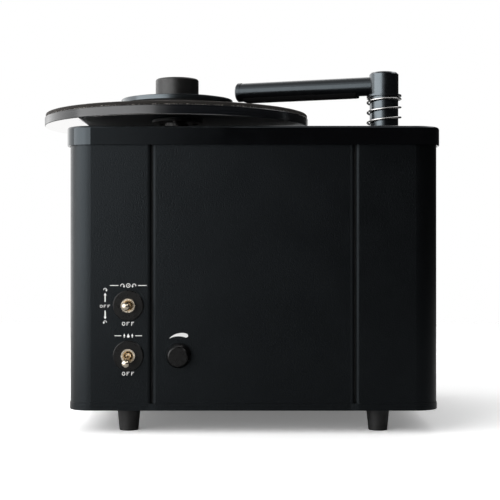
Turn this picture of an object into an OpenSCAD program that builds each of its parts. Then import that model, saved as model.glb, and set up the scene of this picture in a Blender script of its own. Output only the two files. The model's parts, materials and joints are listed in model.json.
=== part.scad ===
// Record cleaning machine: a vacuum record washer in a folded sheet case.
// Millimetres. X runs to the right, Y to the back and Z up from the surface that it stands on.

/* [Case] */
// Width of the glossy lid
case_w = 322; // [320:1:360]
// Depth of the glossy lid
case_d = 310; // [310:1:340]
// How far the body stands back from the lid's edge, all round
body_inset = 2.5; // [2.5:0.5:4]
// Height of the rubber feet
foot_h = 20; // [16:1:26]
// Height of the base tray's edge
base_h = 6; // [5:0.5:9]
// Height of the body that shows between base and lid
body_h = 220.5; // [215:0.5:250]
// Height of the lid's skirt
lid_h = 16; // [14:0.5:20]
// Thickness of the lid's top
lid_t = 3; // [2.5:0.5:4]
// Radius of the body's upright corners
corner_r = 20; // [16:1:24]
// Thickness of the case's sheet
sheet_t = 2; // [1.5:0.5:2.5]
// Distance from the centre to each upright seam
seam_x = 86.7; // [86:0.1:92]
// Width of the gap at each upright seam
seam_gap = 1; // [0.6:0.1:1.4]
// Outer radius of the fold beside each seam
fold_r = 3; // [2.6:0.1:3.5]

/* [Platter] */
// Radius of the platter
platter_r = 121.7; // [116:0.1:127]
// Thickness of the platter
platter_t = 8; // [6:0.5:10]
// Thickness of the mat
mat_t = 3.5; // [2:0.5:5]
// Gap between lid and platter
platter_gap = 7.5; // [7:0.5:12]
// Platter centre to the right of the case's centre
platter_x = -70.8; // [-74:0.1:-66]
// Platter centre behind the case's centre
platter_y = -55; // [-58:1:-50]
// Radius of the record spindle
spindle_r = 3.57; // [3.5:0.01:3.6]

/* [Clamp] */
// Radius of the clamp's disc
clamp_r = 51.75; // [48:0.25:51.75]
// Thickness of the clamp's disc
clamp_t = 4; // [3:0.5:6]
// Thickness of the label seal under the disc
seal_t = 10.5; // [8:0.5:12]
// Radius of the clamp's knob
clamp_knob_r = 20; // [16:0.5:24]
// Height of the clamp's knob
clamp_knob_h = 19.7; // [16:0.1:24]

/* [Arm] */
// Arm post to the right of the case's centre
post_x = 117.5; // [116:0.1:122]
// Arm post behind the case's centre
post_y = -95; // [-98:1:-90]
// Radius of the arm post
post_r = 12.8; // [12.6:0.1:13]
// Height of the post's crown above the lid
post_rise = 54.8; // [52:0.1:60]
// Height of the arm's axis above the lid
arm_rise = 41.9; // [41.6:0.1:44]
// Radius of the arm tube
arm_r = 8.4; // [7:0.1:8.5]
// Length from the post's axis to the arm's tip
arm_reach = 140.6; // [130:0.1:140.6]
// Direction of the arm at rest, in degrees from the right
arm_angle = 160; // [158:0.1:160.5]
// Thickness of the velvet strips under the arm
pad_t = 1.5; // [1.5:0.1:2]
// How far the arm presses down
arm_press = 10.5; // [8:0.5:10.5]
// Radius of the spring's wire
wire_r = 0.9; // [0.7:0.05:1]
// Radius of the spring at the middle of its wire
spring_r = 14.85; // [14.6:0.05:15.2]

/* [Controls] */
// Toggle switches to the right of the case's centre
switch_x = -106.6; // [-110:0.1:-104]
// Turntable switch above the base
turntable_switch_rise = 89.5; // [85:0.5:110]
// Vacuum switch above the base
vacuum_switch_rise = 46.7; // [44:0.1:50]
// Radius of the black disc round each toggle
switch_disc_r = 13; // [11:0.5:14]
// Length of a toggle from its pivot to its ball
toggle_l = 23; // [18:0.5:26]
// Radius of the ball on a toggle's end
toggle_ball_r = 3.5; // [2.8:0.1:3.6]
// Angle that a toggle tilts to each side
toggle_tilt = 12; // [8:1:12]
// Level knob to the right of the case's centre
knob_x = -63.7; // [-66:0.1:-60]
// Level knob above the base
knob_rise = 47; // [44:0.5:52]
// Radius of the level knob at the panel
knob_r = 10.6; // [9.5:0.1:12]
// Height of the level knob
knob_h = 13; // [11:0.5:16]

/* [Inside] */
// Waste tank's left side, from the case's centre
tank_x0 = -8; // [-10:1:-6]
// Waste tank's right side, from the case's centre
tank_x1 = 136; // [135:1:137]
// Waste tank's front, from the case's centre
tank_y0 = -136; // [-137:1:-132]
// Waste tank's back, from the case's centre
tank_y1 = -22; // [-26:1:-20]
// Height of the waste tank
tank_h = 85; // [75:1:95]
// Vacuum motor to the right of the case's centre
vac_x = 56; // [54:1:58]
// Vacuum motor behind the case's centre
vac_y = 75; // [72:1:76]
// Radius of the vacuum fan's housing
fan_r = 54; // [50:1:54]
// Teeth on the platter's drive gear
gear_teeth = 60; // [60:12:60]
// Teeth on the motor's pinion
pinion_teeth = 12; // [12:12:12]

/* [Back] */
// Mains inlet to the right of the case's centre
inlet_x = -45; // [-55:1:-40]
// Mains inlet above the base
inlet_rise = 58; // [50:1:70]
// Drain tap to the right of the case's centre
drain_x = 5; // [4:1:6]
// Drain tap above the base
drain_rise = 20; // [18:1:24]
// How far the drain spigot reaches behind the body
drain_reach = 30; // [30:1:36]

/* [Hidden] */
$fn = 96;
// Running clearance between turning pieces and their bearings
run = 0.05;
// Clearance of a piece that is pressed or glued into another
snug = 0.02;
// Clearance of a screw in its hole
screw_gap = 0.1;

// Heights from the surface up
base_z = foot_h;
body_z = base_z + base_h;
skirt_z = body_z + body_h;
lid_z = skirt_z + lid_h;
body_top = lid_z - lid_t;
base_floor = 2.5;
floor_z = base_z + base_floor;
platter_z = lid_z + platter_gap;
mat_z = platter_z + platter_t;
seal_z = mat_z + mat_t;
disc_z = seal_z + seal_t;
clamp_knob_z = disc_z + clamp_t;
arm_z = lid_z + arm_rise;
crown_z = lid_z + post_rise;

// Outline of the body
body_w = case_w - 2 * body_inset;
body_d = case_d - 2 * body_inset;
front_y = -body_d / 2;
back_y = body_d / 2;
wall_x = body_w / 2 - sheet_t;
flange_l = 12;

// The case's centre, placed so that the origin is under the middle of the whole machine
reach_left = platter_r - platter_x;
reach_right = case_w / 2;
pivot_back = 2;
reach_front = max(platter_r - platter_y, body_d / 2 - pivot_back + toggle_l + toggle_ball_r);
reach_back = back_y + drain_reach;
case_x = (reach_left - reach_right) / 2;
case_y = (reach_front - reach_back) / 2;

// Platter bearing and drive
bearing_flange_r = 23.3;
bearing_screw_r = 18.6;
bearing_flange_t = 2.5;
bearing_tube_r = 14;
bearing_l = 48;
bearing_z = lid_z - bearing_l;
bush_r = 8;
bush_l = 12;
shaft_r = 5;
hub_r = 11;
hub_gap = 0.4;
gearbox_z = 168;
gearbox_h = 24;
gearbox_wall = 3;
gear_m = 1;
gear_t = 8;
gear_z = gearbox_z + gearbox_wall + 3;
gear_spread = gear_m * (gear_teeth + pinion_teeth) / 2 + 0.3;
gearbox_w = 74;
gearbox_d = 93;
gearbox_off = 9.5;
standoff_r = 4;
drive_motor_r = 25;
drive_motor_h = 60;
drive_shaft_r = 2;

// Arm post, its guide and its spring
head_r = post_r + 0.2;
head_z = arm_z - arm_r - 0.1;
post_bore = 10.6;
post_under_lid = 50.5;
post_bottom = lid_z - post_under_lid;
arm_bore = 6.8;
cap_l = 4.5;
pad_in = 24.5;
pad_out = arm_reach - 3;
slot_w = 2.5;
slot_l = 95;
collar_r = 15.6;
collar_t = 1.6;
collar_z = head_z - collar_t;
flange_r = 27.5;
flange_t = 3.6;
flange_web = 1;
flange_screw_r = 22.6;
washer_r = 16.4;
washer_t = 1;
spring_z = lid_z + flange_web + washer_t;
spring_h = collar_z - spring_z;
guide_r = 18;
guide_bottom = post_bottom - arm_press - 6;
hose_bore = 12;
port_r = hose_bore - snug;
port_bore = 9;

// Spring wire: flat end turns at a close pitch, and open turns between them
spring_sides = 6;
spring_rings = 8;
end_turns = 0.75;
end_pitch = 2 * wire_r + 0.6;
open_pitch = 9;
open_turns = (spring_h - 2 * wire_r - 2 * end_turns * end_pitch) / open_pitch;
spring_turns = open_turns + 2 * end_turns;
spring_start = 98;

// Switches and knob
turntable_switch_z = base_z + turntable_switch_rise;
vacuum_switch_z = base_z + vacuum_switch_rise;
knob_z = base_z + knob_rise;
bushing_r = 6;
bushing_out = 3.4;
switch_disc_t = 1.8;
pivot_r = 2.75;
pot_bush_r = 3.5;
pot_shaft_r = 3;

// Waste tank and hoses
tank_wall = 2.5;
tank_pad_h = 4;
tank_z = floor_z + tank_pad_h;
gasket_t = 2;
cover_t = 3;
tank_top = tank_z + tank_h;
cover_z = tank_top + gasket_t;
port_l = 17;
port_z = cover_z + cover_t;
outlet_y = -60;
float_x = 112;
float_y = -50;
float_ball_r = 10;
float_bore = 10.5;
float_guide_l = 52;
drain_z = base_z + drain_rise;
drain_bore = 3;
drain_r = 4.5;
hose_wall = 2.5;

// Vacuum motor
mount_h = 12;
motor_r = 38;
motor_h = 84;
fan_z = floor_z + mount_h + motor_h;
fan_h = 32;
fan_wall = 2.5;
intake_z = fan_z + fan_h;
exhaust_w = 36;
exhaust_h = 24;
exhaust_y = vac_y + fan_r + 4;
hose_bend = 30;
hose_over_z = 222;

// Drain tap: block, and the ball that turns in it
tap_block = 16;
tap_y = back_y + tap_block / 2;
tap_ball_r = 5.2;

// Mains inlet
inlet_z = base_z + inlet_rise;
inlet_w = 28;
inlet_h = 38;
inlet_flange_w = 50;
inlet_flange_h = 44;
inlet_flange_t = 2;
socket_w = 24;
socket_h = 16.5;
socket_deep = 18;
socket_up = 6;
drawer_w = 22;
drawer_h = 9;
drawer_deep = 17;
drawer_down = -12;

// Control board
board_x0 = -140;
board_x1 = -48;
board_y0 = 30;
board_y1 = 128;
board_z = floor_z + 11;
board_t = 1.6;

// Places of the feet and of the screws that hold the case
foot_x = 108.7;
foot_y = 125;
foot_top_r = 10.25;
foot_low_r = 8.25;
bracket_y = [-95, 0, 95];
lid_screw_x = [-120, 120];
flange_screw_turns = [30, 150, 270];

// Wire looms, each a list of points through the case, from a part to the board's top
loom_r = 3.5;
inlet_deep = 24;
board_top = board_z + board_t;
switch_back = front_y + sheet_t + 24;
pot_back = front_y + sheet_t + 11;
drive_back = gearbox_z - drive_motor_h - 6;
loom_turntable = [[-106, switch_back, 100], [-106, -118, 100], [-110, -100, 96], [-118, -70, 84],
    [-122, -30, 70], [-122, 0, 58], [-118, 30, 50], [-113, 44, 46], [-111, 50, 42], [-111, 50, board_top]];
loom_switch = [[-106, switch_back, 64], [-106, -118, 64], [-104, -100, 62], [-100, -60, 56],
    [-98, -10, 50], [-97, 30, 46], [-96, 44, 42], [-96, 44, board_top]];
loom_level = [[-63, pot_back, 67], [-63, -131, 67], [-62, -110, 64], [-60, -60, 54], [-60, 0, 46],
    [-58, 26, 42], [-57, 36, 40], [-57, 36, board_top]];
loom_inlet = [[-45, back_y - inlet_deep, 84], [-45, 120, 84], [-46, 112, 79], [-49, 106, 68],
    [-52, 101, 56], [-53, 100, 46], [-53, 100, board_top]];
loom_drive = [[-70, -18.7, drive_back], [-70, -18.7, 94], [-71, -14, 84], [-74, 0, 70], [-78, 16, 56],
    [-80, 28, 47], [-81, 34, 42], [-81, 34, board_top]];
loom_vacuum = [[14, 75, 60], [6, 75, 60], [-4, 74, 58], [-22, 70, 52], [-38, 67, 48],
    [-50, 64, 46], [-54, 64, 42], [-54, 64, board_top]];

// Places and small shapes that several pieces share
module at_case(x = 0, y = 0, z = 0) {
    translate([case_x + x, case_y + y, z]) children();
}

// Turns a piece drawn with Z up so that its Z points out of the front panel
module facing_front() {
    rotate([90, 0, 0]) children();
}

// Turns a piece drawn with Z up so that its Z points out of the back, upright as it was drawn
module facing_back() {
    rotate([90, 0, 180]) children();
}

module rounded_2d(w, d, r) {
    square([w - 2 * r, d], center = true);
    square([w, d - 2 * r], center = true);
    for (sx = [-1, 1], sy = [-1, 1])
        translate([sx * (w / 2 - r), sy * (d / 2 - r)]) circle(r);
}

module rounded_slab(w, d, r, h) {
    linear_extrude(h) rounded_2d(w, d, r);
}

module ring(outer, inner, h) {
    difference() {
        cylinder(r = outer, h = h);
        translate([0, 0, -1]) cylinder(r = inner, h = h + 2);
    }
}

// Half profile of a slab with a rounded upper edge
module edge_2d(run_in, h, edge) {
    square([run_in, h - edge]);
    square([run_in - edge, h]);
    translate([run_in - edge, h - edge]) circle(edge);
}

// A slab whose upper edge is rounded all round
module soft_slab(w, d, r, h, edge) {
    translate([-w / 2 + r, -d / 2 + r, 0]) cube([w - 2 * r, d - 2 * r, h]);
    for (turn = [0, 180]) rotate([0, 0, turn]) {
        translate([w / 2 - r, d / 2 - r, 0]) rotate([90, 0, 0])
            linear_extrude(d - 2 * r) edge_2d(r, h, edge);
        translate([-w / 2 + r, d / 2 - r, 0]) rotate([90, 0, 90])
            linear_extrude(w - 2 * r) edge_2d(r, h, edge);
    }
    for (sx = [-1, 1], sy = [-1, 1])
        translate([sx * (w / 2 - r), sy * (d / 2 - r), 0])
            rotate([0, 0, sx > 0 ? (sy > 0 ? 0 : 270) : (sy > 0 ? 90 : 180)])
                rotate_extrude(angle = 90) edge_2d(r, h, edge);
}

// Case
module base_plate() color([0.10, 0.10, 0.11]) at_case(0, 0, base_z) {
    edge_w = 5;
    proud = 0.5;
    slot = [6, 46];
    first_slot = [-120, -100];
    slot_step = 13;
    difference() {
        rounded_slab(body_w + 2 * proud, body_d + 2 * proud, corner_r + proud, base_h);
        translate([0, 0, base_floor])
            rounded_slab(body_w - 2 * edge_w, body_d - 2 * edge_w, corner_r - edge_w, base_h);
        for (sx = [-1, 1], sy = [-1, 1]) translate([sx * foot_x, sy * foot_y, -1])
            cylinder(r = 2 + screw_gap, h = base_h);
        for (sx = [-1, 1], y = bracket_y) translate([sx * (wall_x - 10.5), y, -1])
            cylinder(r = 1.5 + screw_gap, h = base_h);
        for (i = [0:4]) translate([first_slot.x + slot_step * i, first_slot.y, -1])
            cube([slot.x, slot.y, base_h]);
    }
}

// Plan of a sheet's edge folded inward at a front seam; the edge faces +X at x = 0
module fold_2d() {
    translate([-fold_r, fold_r]) intersection() {
        difference() {
            circle(fold_r);
            circle(fold_r - sheet_t);
        }
        translate([0, -fold_r]) square(fold_r);
    }
    translate([-sheet_t, fold_r]) square([sheet_t, flange_l - fold_r]);
}

module side_shell_2d() {
    edge = seam_x + seam_gap / 2;
    difference() {
        rounded_2d(body_w, body_d, corner_r);
        rounded_2d(body_w - 2 * sheet_t, body_d - 2 * sheet_t, corner_r - sheet_t);
        translate([-edge - fold_r, -body_d]) square([body_w + edge, 2 * body_d]);
    }
    for (s = [0, 1]) mirror([0, s]) translate([-edge, front_y]) fold_2d();
}

// A side shell, drawn for the left, with its hole for the lid's screw at the back
module side_shell() difference() {
    translate([0, 0, body_z]) linear_extrude(body_top - body_z) side_shell_2d();
    translate([lid_screw_x[0], back_y - sheet_t - 1, skirt_z + lid_h / 2]) rotate([-90, 0, 0])
        cylinder(r = 1.5 + screw_gap, h = sheet_t + 2);
}

module left_side_shell() color([0.13, 0.13, 0.14]) at_case() difference() {
    side_shell();
    for (z = [turntable_switch_z, vacuum_switch_z]) translate([switch_x, front_y - 1, z])
        rotate([-90, 0, 0]) cylinder(r = bushing_r + screw_gap, h = sheet_t + 2);
}

module right_side_shell() color([0.13, 0.13, 0.14]) at_case() mirror([1, 0, 0]) side_shell();

module middle_panel_2d() {
    edge = seam_x - seam_gap / 2;
    translate([-edge + fold_r, front_y]) square([2 * (edge - fold_r), sheet_t]);
    for (s = [0, 1]) mirror([s, 0]) translate([edge, front_y]) fold_2d();
}

module front_panel() color([0.12, 0.12, 0.13]) at_case() difference() {
    translate([0, 0, body_z]) linear_extrude(body_top - body_z) middle_panel_2d();
    translate([knob_x, front_y - 1, knob_z]) rotate([-90, 0, 0])
        cylinder(r = pot_bush_r + screw_gap, h = sheet_t + 2);
}

module rear_panel() color([0.12, 0.12, 0.13]) at_case() {
    vent = [46, 3];
    first_vent_z = 150;
    vent_step = 8;
    difference() {
        translate([0, 0, body_z]) linear_extrude(body_top - body_z)
            mirror([0, 1]) middle_panel_2d();
        translate([inlet_x - inlet_w / 2, back_y - sheet_t - 1, inlet_z - inlet_h / 2])
            cube([inlet_w, sheet_t + 2, inlet_h]);
        translate([vac_x - exhaust_w / 2, back_y - sheet_t - 1, fan_z + (fan_h - exhaust_h) / 2])
            cube([exhaust_w, sheet_t + 2, exhaust_h]);
        translate([drain_x, back_y - sheet_t - 1, drain_z]) rotate([-90, 0, 0])
            cylinder(r = drain_r + 1 + screw_gap, h = sheet_t + 2);
        for (i = [0:8])
            translate([inlet_x - vent.x / 2, back_y - sheet_t - 1, first_vent_z + vent_step * i])
                cube([vent.x, sheet_t + 2, vent.y]);
    }
}

module top_lid() color([0.03, 0.03, 0.035]) at_case(0, 0, skirt_z) {
    edge = 2;
    wall = 2;
    outer_r = corner_r + body_inset;
    difference() {
        soft_slab(case_w, case_d, outer_r, lid_h, edge);
        translate([0, 0, -1]) rounded_slab(case_w - 2 * wall, case_d - 2 * wall, outer_r - wall,
            lid_h - lid_t + 1);
        translate([platter_x, platter_y, 0]) cylinder(r = bearing_tube_r + screw_gap, h = lid_h + 1);
        translate([post_x, post_y, 0]) cylinder(r = post_r + 1, h = lid_h + 1);
        for (a = flange_screw_turns) {
            translate([platter_x, platter_y, 0]) rotate([0, 0, a]) translate([bearing_screw_r, 0, 0])
                cylinder(r = 1.5 + screw_gap, h = lid_h + 1);
            translate([post_x, post_y, 0]) rotate([0, 0, a]) translate([flange_screw_r, 0, 0])
                cylinder(r = 1.5 + screw_gap, h = lid_h + 1);
        }
        for (x = lid_screw_x) translate([x, case_d / 2 - wall - 1, lid_h / 2]) rotate([-90, 0, 0])
            cylinder(r = 1.5 + screw_gap, h = wall + 2);
    }
}

// Rubber strips in the seams, behind the folds
module seam_seals() color([0.02, 0.02, 0.02]) for (sx = [-1, 1], sy = [0, 1])
    at_case() mirror([0, sy, 0])
        translate([sx * seam_x - seam_gap / 2, front_y + fold_r + 1, body_z])
            cube([seam_gap, flange_l - fold_r - 1, body_top - body_z]);

// Angle pieces that hold the side shells to the base
module shell_brackets() color([0.6, 0.6, 0.62]) for (s = [0, 1], y = bracket_y)
    at_case() mirror([s, 0, 0]) difference() {
        translate([wall_x, y - 10, 0]) {
            translate([-2, 0, body_z]) cube([2, 20, 20]);
            translate([-16, 0, body_z]) cube([16, 20, 2]);
            translate([-16, 0, floor_z]) cube([11, 20, base_h - base_floor]);
        }
        translate([wall_x - 10.5, y, floor_z - 1]) cylinder(r = 1.5, h = 8);
    }

// A screw with a low round head, drawn with its head under z = 0 and its shank upwards
module low_screw(shank_r, l, head_r, head_h) {
    translate([0, 0, -head_h]) difference() {
        cylinder(r = head_r, h = head_h);
        translate([0, 0, -1]) for (a = [0, 90]) rotate([0, 0, a])
            translate([-head_r * 0.6, -0.4, 0]) cube([head_r * 1.2, 0.8, 1 + head_h * 0.4]);
    }
    cylinder(r = shank_r, h = l);
}

module case_screws() color([0.55, 0.55, 0.57]) {
    nut_h = 3;
    foot_seat = 8;
    for (sx = [-1, 1], sy = [-1, 1]) at_case(sx * foot_x, sy * foot_y, foot_seat) {
        low_screw(2, floor_z + nut_h - foot_seat, 4, 2.4);
        translate([0, 0, floor_z - foot_seat]) cylinder(r = 4, h = nut_h, $fn = 6);
    }
    for (sx = [-1, 1], y = bracket_y) at_case(sx * (wall_x - 10.5), y, base_z)
        low_screw(1.5 - snug, 7, 3, 1.4);
    for (x = lid_screw_x) at_case(x, case_d / 2, skirt_z + lid_h / 2) rotate([90, 0, 0])
        low_screw(1.5 - snug, 7, 3.2, 1.5);
    sunk = 1.4;
    for (a = flange_screw_turns) {
        at_case(platter_x, platter_y, lid_z + bearing_flange_t) rotate([0, 0, a])
            translate([bearing_screw_r, 0, 0]) mirror([0, 0, 1])
                low_screw(1.5, bearing_flange_t + lid_t, 2.8, 1.2);
        at_case(post_x, post_y, lid_z + flange_t - sunk) rotate([0, 0, a])
            translate([flange_screw_r, 0, 0]) mirror([0, 0, 1])
                low_screw(1.5, flange_t - sunk + lid_t, 2.8, sunk);
    }
}

module feet() color([0.05, 0.05, 0.05]) for (sx = [-1, 1], sy = [-1, 1])
    at_case(sx * foot_x, sy * foot_y) difference() {
        cylinder(r1 = foot_low_r, r2 = foot_top_r, h = foot_h);
        translate([0, 0, -1]) cylinder(r = 4.8, h = 9);
        translate([0, 0, 4]) cylinder(r = 2 + screw_gap, h = foot_h);
    }

// Platter and its bearing
module at_platter(z = 0) {
    at_case(platter_x, platter_y, z) children();
}

module platter() color([0.45, 0.47, 0.50]) at_platter(platter_z) {
    edge = 0.6;
    difference() {
        union() {
            translate([0, 0, edge]) cylinder(r = platter_r, h = platter_t - 2 * edge);
            cylinder(r1 = platter_r - edge, r2 = platter_r, h = edge);
            translate([0, 0, platter_t - edge])
                cylinder(r1 = platter_r, r2 = platter_r - edge, h = edge);
        }
        translate([0, 0, -1]) cylinder(r = shaft_r + 2 + snug, h = platter_t + 2);
    }
}

module platter_mat() color([0.10, 0.09, 0.08]) at_platter(mat_z)
    ring(platter_r - 0.8, shaft_r + 0.5, mat_t);

module platter_hub() color([0.62, 0.63, 0.65]) at_platter() {
    under = lid_z + bearing_flange_t + hub_gap;
    difference() {
        union() {
            translate([0, 0, under]) cylinder(r = hub_r, h = platter_z - under);
            translate([0, 0, platter_z]) cylinder(r = shaft_r + 2, h = platter_t);
        }
        translate([0, 0, under - 1]) cylinder(r = shaft_r + snug, h = platter_t + platter_gap + 2);
        translate([0, 0, (under + platter_z) / 2]) rotate([90, 0, 0]) cylinder(r = 1, h = hub_r + 1);
    }
}

// Spindle: thick shaft through the bearing, thin threaded nose for the record and the clamp
module spindle() color([0.75, 0.76, 0.78]) at_platter() {
    low = gearbox_z + gearbox_wall + 0.3;
    nose = clamp_knob_z + 10;
    groove = 0.35;
    translate([0, 0, low]) cylinder(r = shaft_r, h = seal_z - low);
    difference() {
        translate([0, 0, seal_z]) cylinder(r = spindle_r, h = nose - seal_z);
        for (z = [disc_z:1.5:nose - 3]) translate([0, 0, z])
            ring(spindle_r + 1, spindle_r - groove, 0.6);
    }
    translate([0, 0, nose]) cylinder(r1 = spindle_r, r2 = 1.5, h = 1.5);
}

module bearing_housing() color([0.08, 0.08, 0.09]) at_platter() difference() {
    union() {
        translate([0, 0, lid_z]) cylinder(r = bearing_flange_r, h = bearing_flange_t);
        translate([0, 0, bearing_z]) cylinder(r = bearing_tube_r, h = lid_z - bearing_z);
    }
    translate([0, 0, bearing_z - 1]) cylinder(r = shaft_r + 1, h = 60);
    translate([0, 0, bearing_z - 1]) cylinder(r = bush_r, h = bush_l + 1);
    translate([0, 0, lid_z + bearing_flange_t - bush_l]) cylinder(r = bush_r, h = bush_l + 1);
    for (a = flange_screw_turns) rotate([0, 0, a]) translate([bearing_screw_r, 0, lid_z - 1])
        cylinder(r = 1.5 + screw_gap, h = bearing_flange_t + 2);
}

module bearing_bushes() color([0.72, 0.53, 0.28])
    for (z = [bearing_z, lid_z + bearing_flange_t - bush_l]) at_platter(z)
        ring(bush_r - snug, shaft_r + run, bush_l);

// Drive: a geared motor hangs under the lid, its big gear on the spindle's lower end
function tooth(n, i, backlash) = let(
    rp = gear_m * n / 2,
    half = PI * gear_m / 4 - backlash,
    tip = rp + 0.85 * gear_m,
    root = rp - 1.15 * gear_m,
    flank = tan(20),
    a = 360 * i / n
) [for (p = [[root, -half - flank * gear_m], [tip, -half + flank * 0.85 * gear_m],
             [tip, half - flank * 0.85 * gear_m], [root, half + flank * gear_m]])
    let(turn = a + p.y / rp * 180 / PI) p.x * [cos(turn), sin(turn)]];

module toothed(n, bore, t, start) difference() {
    linear_extrude(t) rotate(start)
        polygon([for (i = [0:n - 1], p = tooth(n, i, 0.12)) p]);
    translate([0, 0, -1]) cylinder(r = bore, h = t + 2);
}

module drive_gear() color([0.85, 0.83, 0.75]) at_platter(gear_z) {
    toothed(gear_teeth, shaft_r + snug, gear_t, 90);
    translate([0, 0, gear_t]) ring(9, shaft_r + snug, 3);
}

module at_pinion(z = 0) {
    at_platter(z) translate([0, gear_spread, 0]) children();
}

module motor_pinion() color([0.72, 0.55, 0.30]) at_pinion(gear_z)
    toothed(pinion_teeth, drive_shaft_r + snug, gear_t + 1, 90 + 180 / pinion_teeth);

module motor_shaft() color([0.7, 0.7, 0.72]) at_pinion(gearbox_z - 30)
    cylinder(r = drive_shaft_r, h = 30 + gearbox_wall + 3 + gear_t + 2);

module gearbox_plan(grow = 0) {
    translate([0, gearbox_off]) rounded_2d(gearbox_w + grow, gearbox_d + grow, 8 + grow / 2);
}

module gearbox_case() color([0.35, 0.36, 0.38]) at_platter(gearbox_z) difference() {
    linear_extrude(gearbox_h - gearbox_wall) gearbox_plan();
    translate([0, 0, gearbox_wall])
        linear_extrude(gearbox_h) gearbox_plan(-2 * gearbox_wall);
    translate([0, gear_spread, -1]) cylinder(r = 6, h = gearbox_wall + 2);
}

module gearbox_cover() color([0.38, 0.39, 0.41]) at_platter(gearbox_z + gearbox_h - gearbox_wall)
    difference() {
        linear_extrude(gearbox_wall) gearbox_plan();
        translate([0, 0, -1]) cylinder(r = shaft_r + 0.5, h = gearbox_wall + 2);
    }

module platter_motor() color([0.55, 0.56, 0.58]) at_pinion(gearbox_z - drive_motor_h) {
    difference() {
        union() {
            cylinder(r = drive_motor_r, h = drive_motor_h);
            translate([0, 0, -6]) cylinder(r = 9, h = 6);
        }
        translate([0, 0, 24]) cylinder(r = drive_shaft_r + run, h = drive_motor_h);
    }
}

module drive_standoffs() color([0.75, 0.72, 0.6]) for (sx = [-1, 1], y = [-29, 47])
    at_platter(gearbox_z + gearbox_h) translate([sx * 29, y, 0])
        cylinder(r = standoff_r, h = body_top - gearbox_z - gearbox_h);

// Clamp
module clamp_disc() color([0.20, 0.20, 0.21]) at_platter(disc_z) {
    edge = 0.5;
    difference() {
        union() {
            cylinder(r = clamp_r, h = clamp_t - edge);
            translate([0, 0, clamp_t - edge]) cylinder(r1 = clamp_r, r2 = clamp_r - edge, h = edge);
        }
        translate([0, 0, -1]) cylinder(r = spindle_r + 0.4, h = clamp_t + 2);
    }
}

// Seal whose rim presses on the record's label and keeps the middle dry
module clamp_seal() color([0.03, 0.03, 0.03]) at_platter(seal_z) {
    label_recess = 1.5;
    lip_h = 3;
    difference() {
        union() {
            cylinder(r = clamp_r - 1.5, h = lip_h);
            cylinder(r = clamp_r - 3, h = seal_t);
        }
        translate([0, 0, -1]) cylinder(r = clamp_r - 9, h = 1 + label_recess);
        translate([0, 0, -1]) cylinder(r = spindle_r + 0.4, h = seal_t + 2);
    }
}

module clamp_knob() color([0.09, 0.09, 0.095]) at_platter(clamp_knob_z) {
    edge = 2;
    difference() {
        rotate_extrude() intersection() {
            edge_2d(clamp_knob_r, clamp_knob_h, edge);
            square([clamp_knob_r, clamp_knob_h]);
        }
        translate([0, 0, -1]) cylinder(r = spindle_r + run, h = 14);
    }
}

// Arm
module at_post(z = 0) {
    at_case(post_x, post_y, z) children();
}

module along_arm() {
    at_post(arm_z) rotate([0, 0, arm_angle]) rotate([0, 90, 0]) children();
}

module arm_post() color([0.07, 0.07, 0.075]) at_post(post_bottom)
    ring(post_r, post_bore, head_z - post_bottom);

module arm_head() color([0.07, 0.07, 0.075]) {
    spigot_l = 12;
    crown = 1.5;
    edge = 1.5;
    crown_r = (pow(head_r - edge, 2) + crown * crown) / (2 * crown);
    difference() {
        at_post() {
            translate([0, 0, head_z - spigot_l]) cylinder(r = post_bore - snug, h = spigot_l);
            translate([0, 0, head_z]) cylinder(r = head_r, h = crown_z - crown - edge - head_z);
            translate([0, 0, crown_z - crown - edge])
                cylinder(r1 = head_r, r2 = head_r - edge, h = edge);
            intersection() {
                translate([0, 0, crown_z - crown_r]) sphere(r = crown_r);
                translate([0, 0, crown_z - crown - 1]) cylinder(r = head_r - edge, h = crown + 2);
            }
        }
        at_post(head_z - spigot_l - 1) cylinder(r = 9, h = crown_z - head_z + spigot_l - 4);
        along_arm() cylinder(r = arm_r + snug, h = head_r + 1);
    }
}

module arm_tube() color([0.09, 0.09, 0.095]) difference() {
    along_arm() translate([0, 0, 8]) ring(arm_r, arm_bore, arm_reach - cap_l - 8);
    along_arm() translate([arm_bore - 1, -slot_w / 2, arm_reach - 12 - slot_l])
        cube([4, slot_w, slot_l]);
}

module arm_end_cap() color([0.06, 0.06, 0.065]) along_arm() {
    lip = 0.4;
    edge = 1.2;
    translate([0, 0, arm_reach - cap_l]) cylinder(r = arm_r + lip, h = cap_l - edge);
    translate([0, 0, arm_reach - edge]) cylinder(r1 = arm_r + lip, r2 = arm_r + lip - edge, h = edge);
    translate([0, 0, arm_reach - cap_l - 7]) cylinder(r = arm_bore - snug, h = 7);
}

// Two velvet strips, one on each side of the slot
module arm_pads() color([0.03, 0.03, 0.03]) difference() {
    along_arm() for (s = [-1, 1])
        translate([arm_r - 2.6, s * 3.8 - 2.2, pad_in]) cube([2.6 + pad_t, 4.4, pad_out - pad_in - cap_l]);
    along_arm() cylinder(r = arm_r + snug, h = arm_reach);
}

module spring_collar() color([0.70, 0.71, 0.73]) at_post(collar_z) difference() {
    ring(collar_r, post_r + snug, collar_t);
    translate([0, -1.5, -1]) cube([collar_r + 1, 3, collar_t + 2]);
}

// Height of the spring's wire after t turns: close end turns, open turns between
function spring_rise(t) = t < end_turns ? end_pitch * t
    : t < end_turns + open_turns ? end_pitch * end_turns + open_pitch * (t - end_turns)
    : end_pitch * (t - open_turns) + open_pitch * open_turns;
function spring_point(t) = [spring_r * cos(360 * t), spring_r * sin(360 * t), wire_r + spring_rise(t)];

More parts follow.
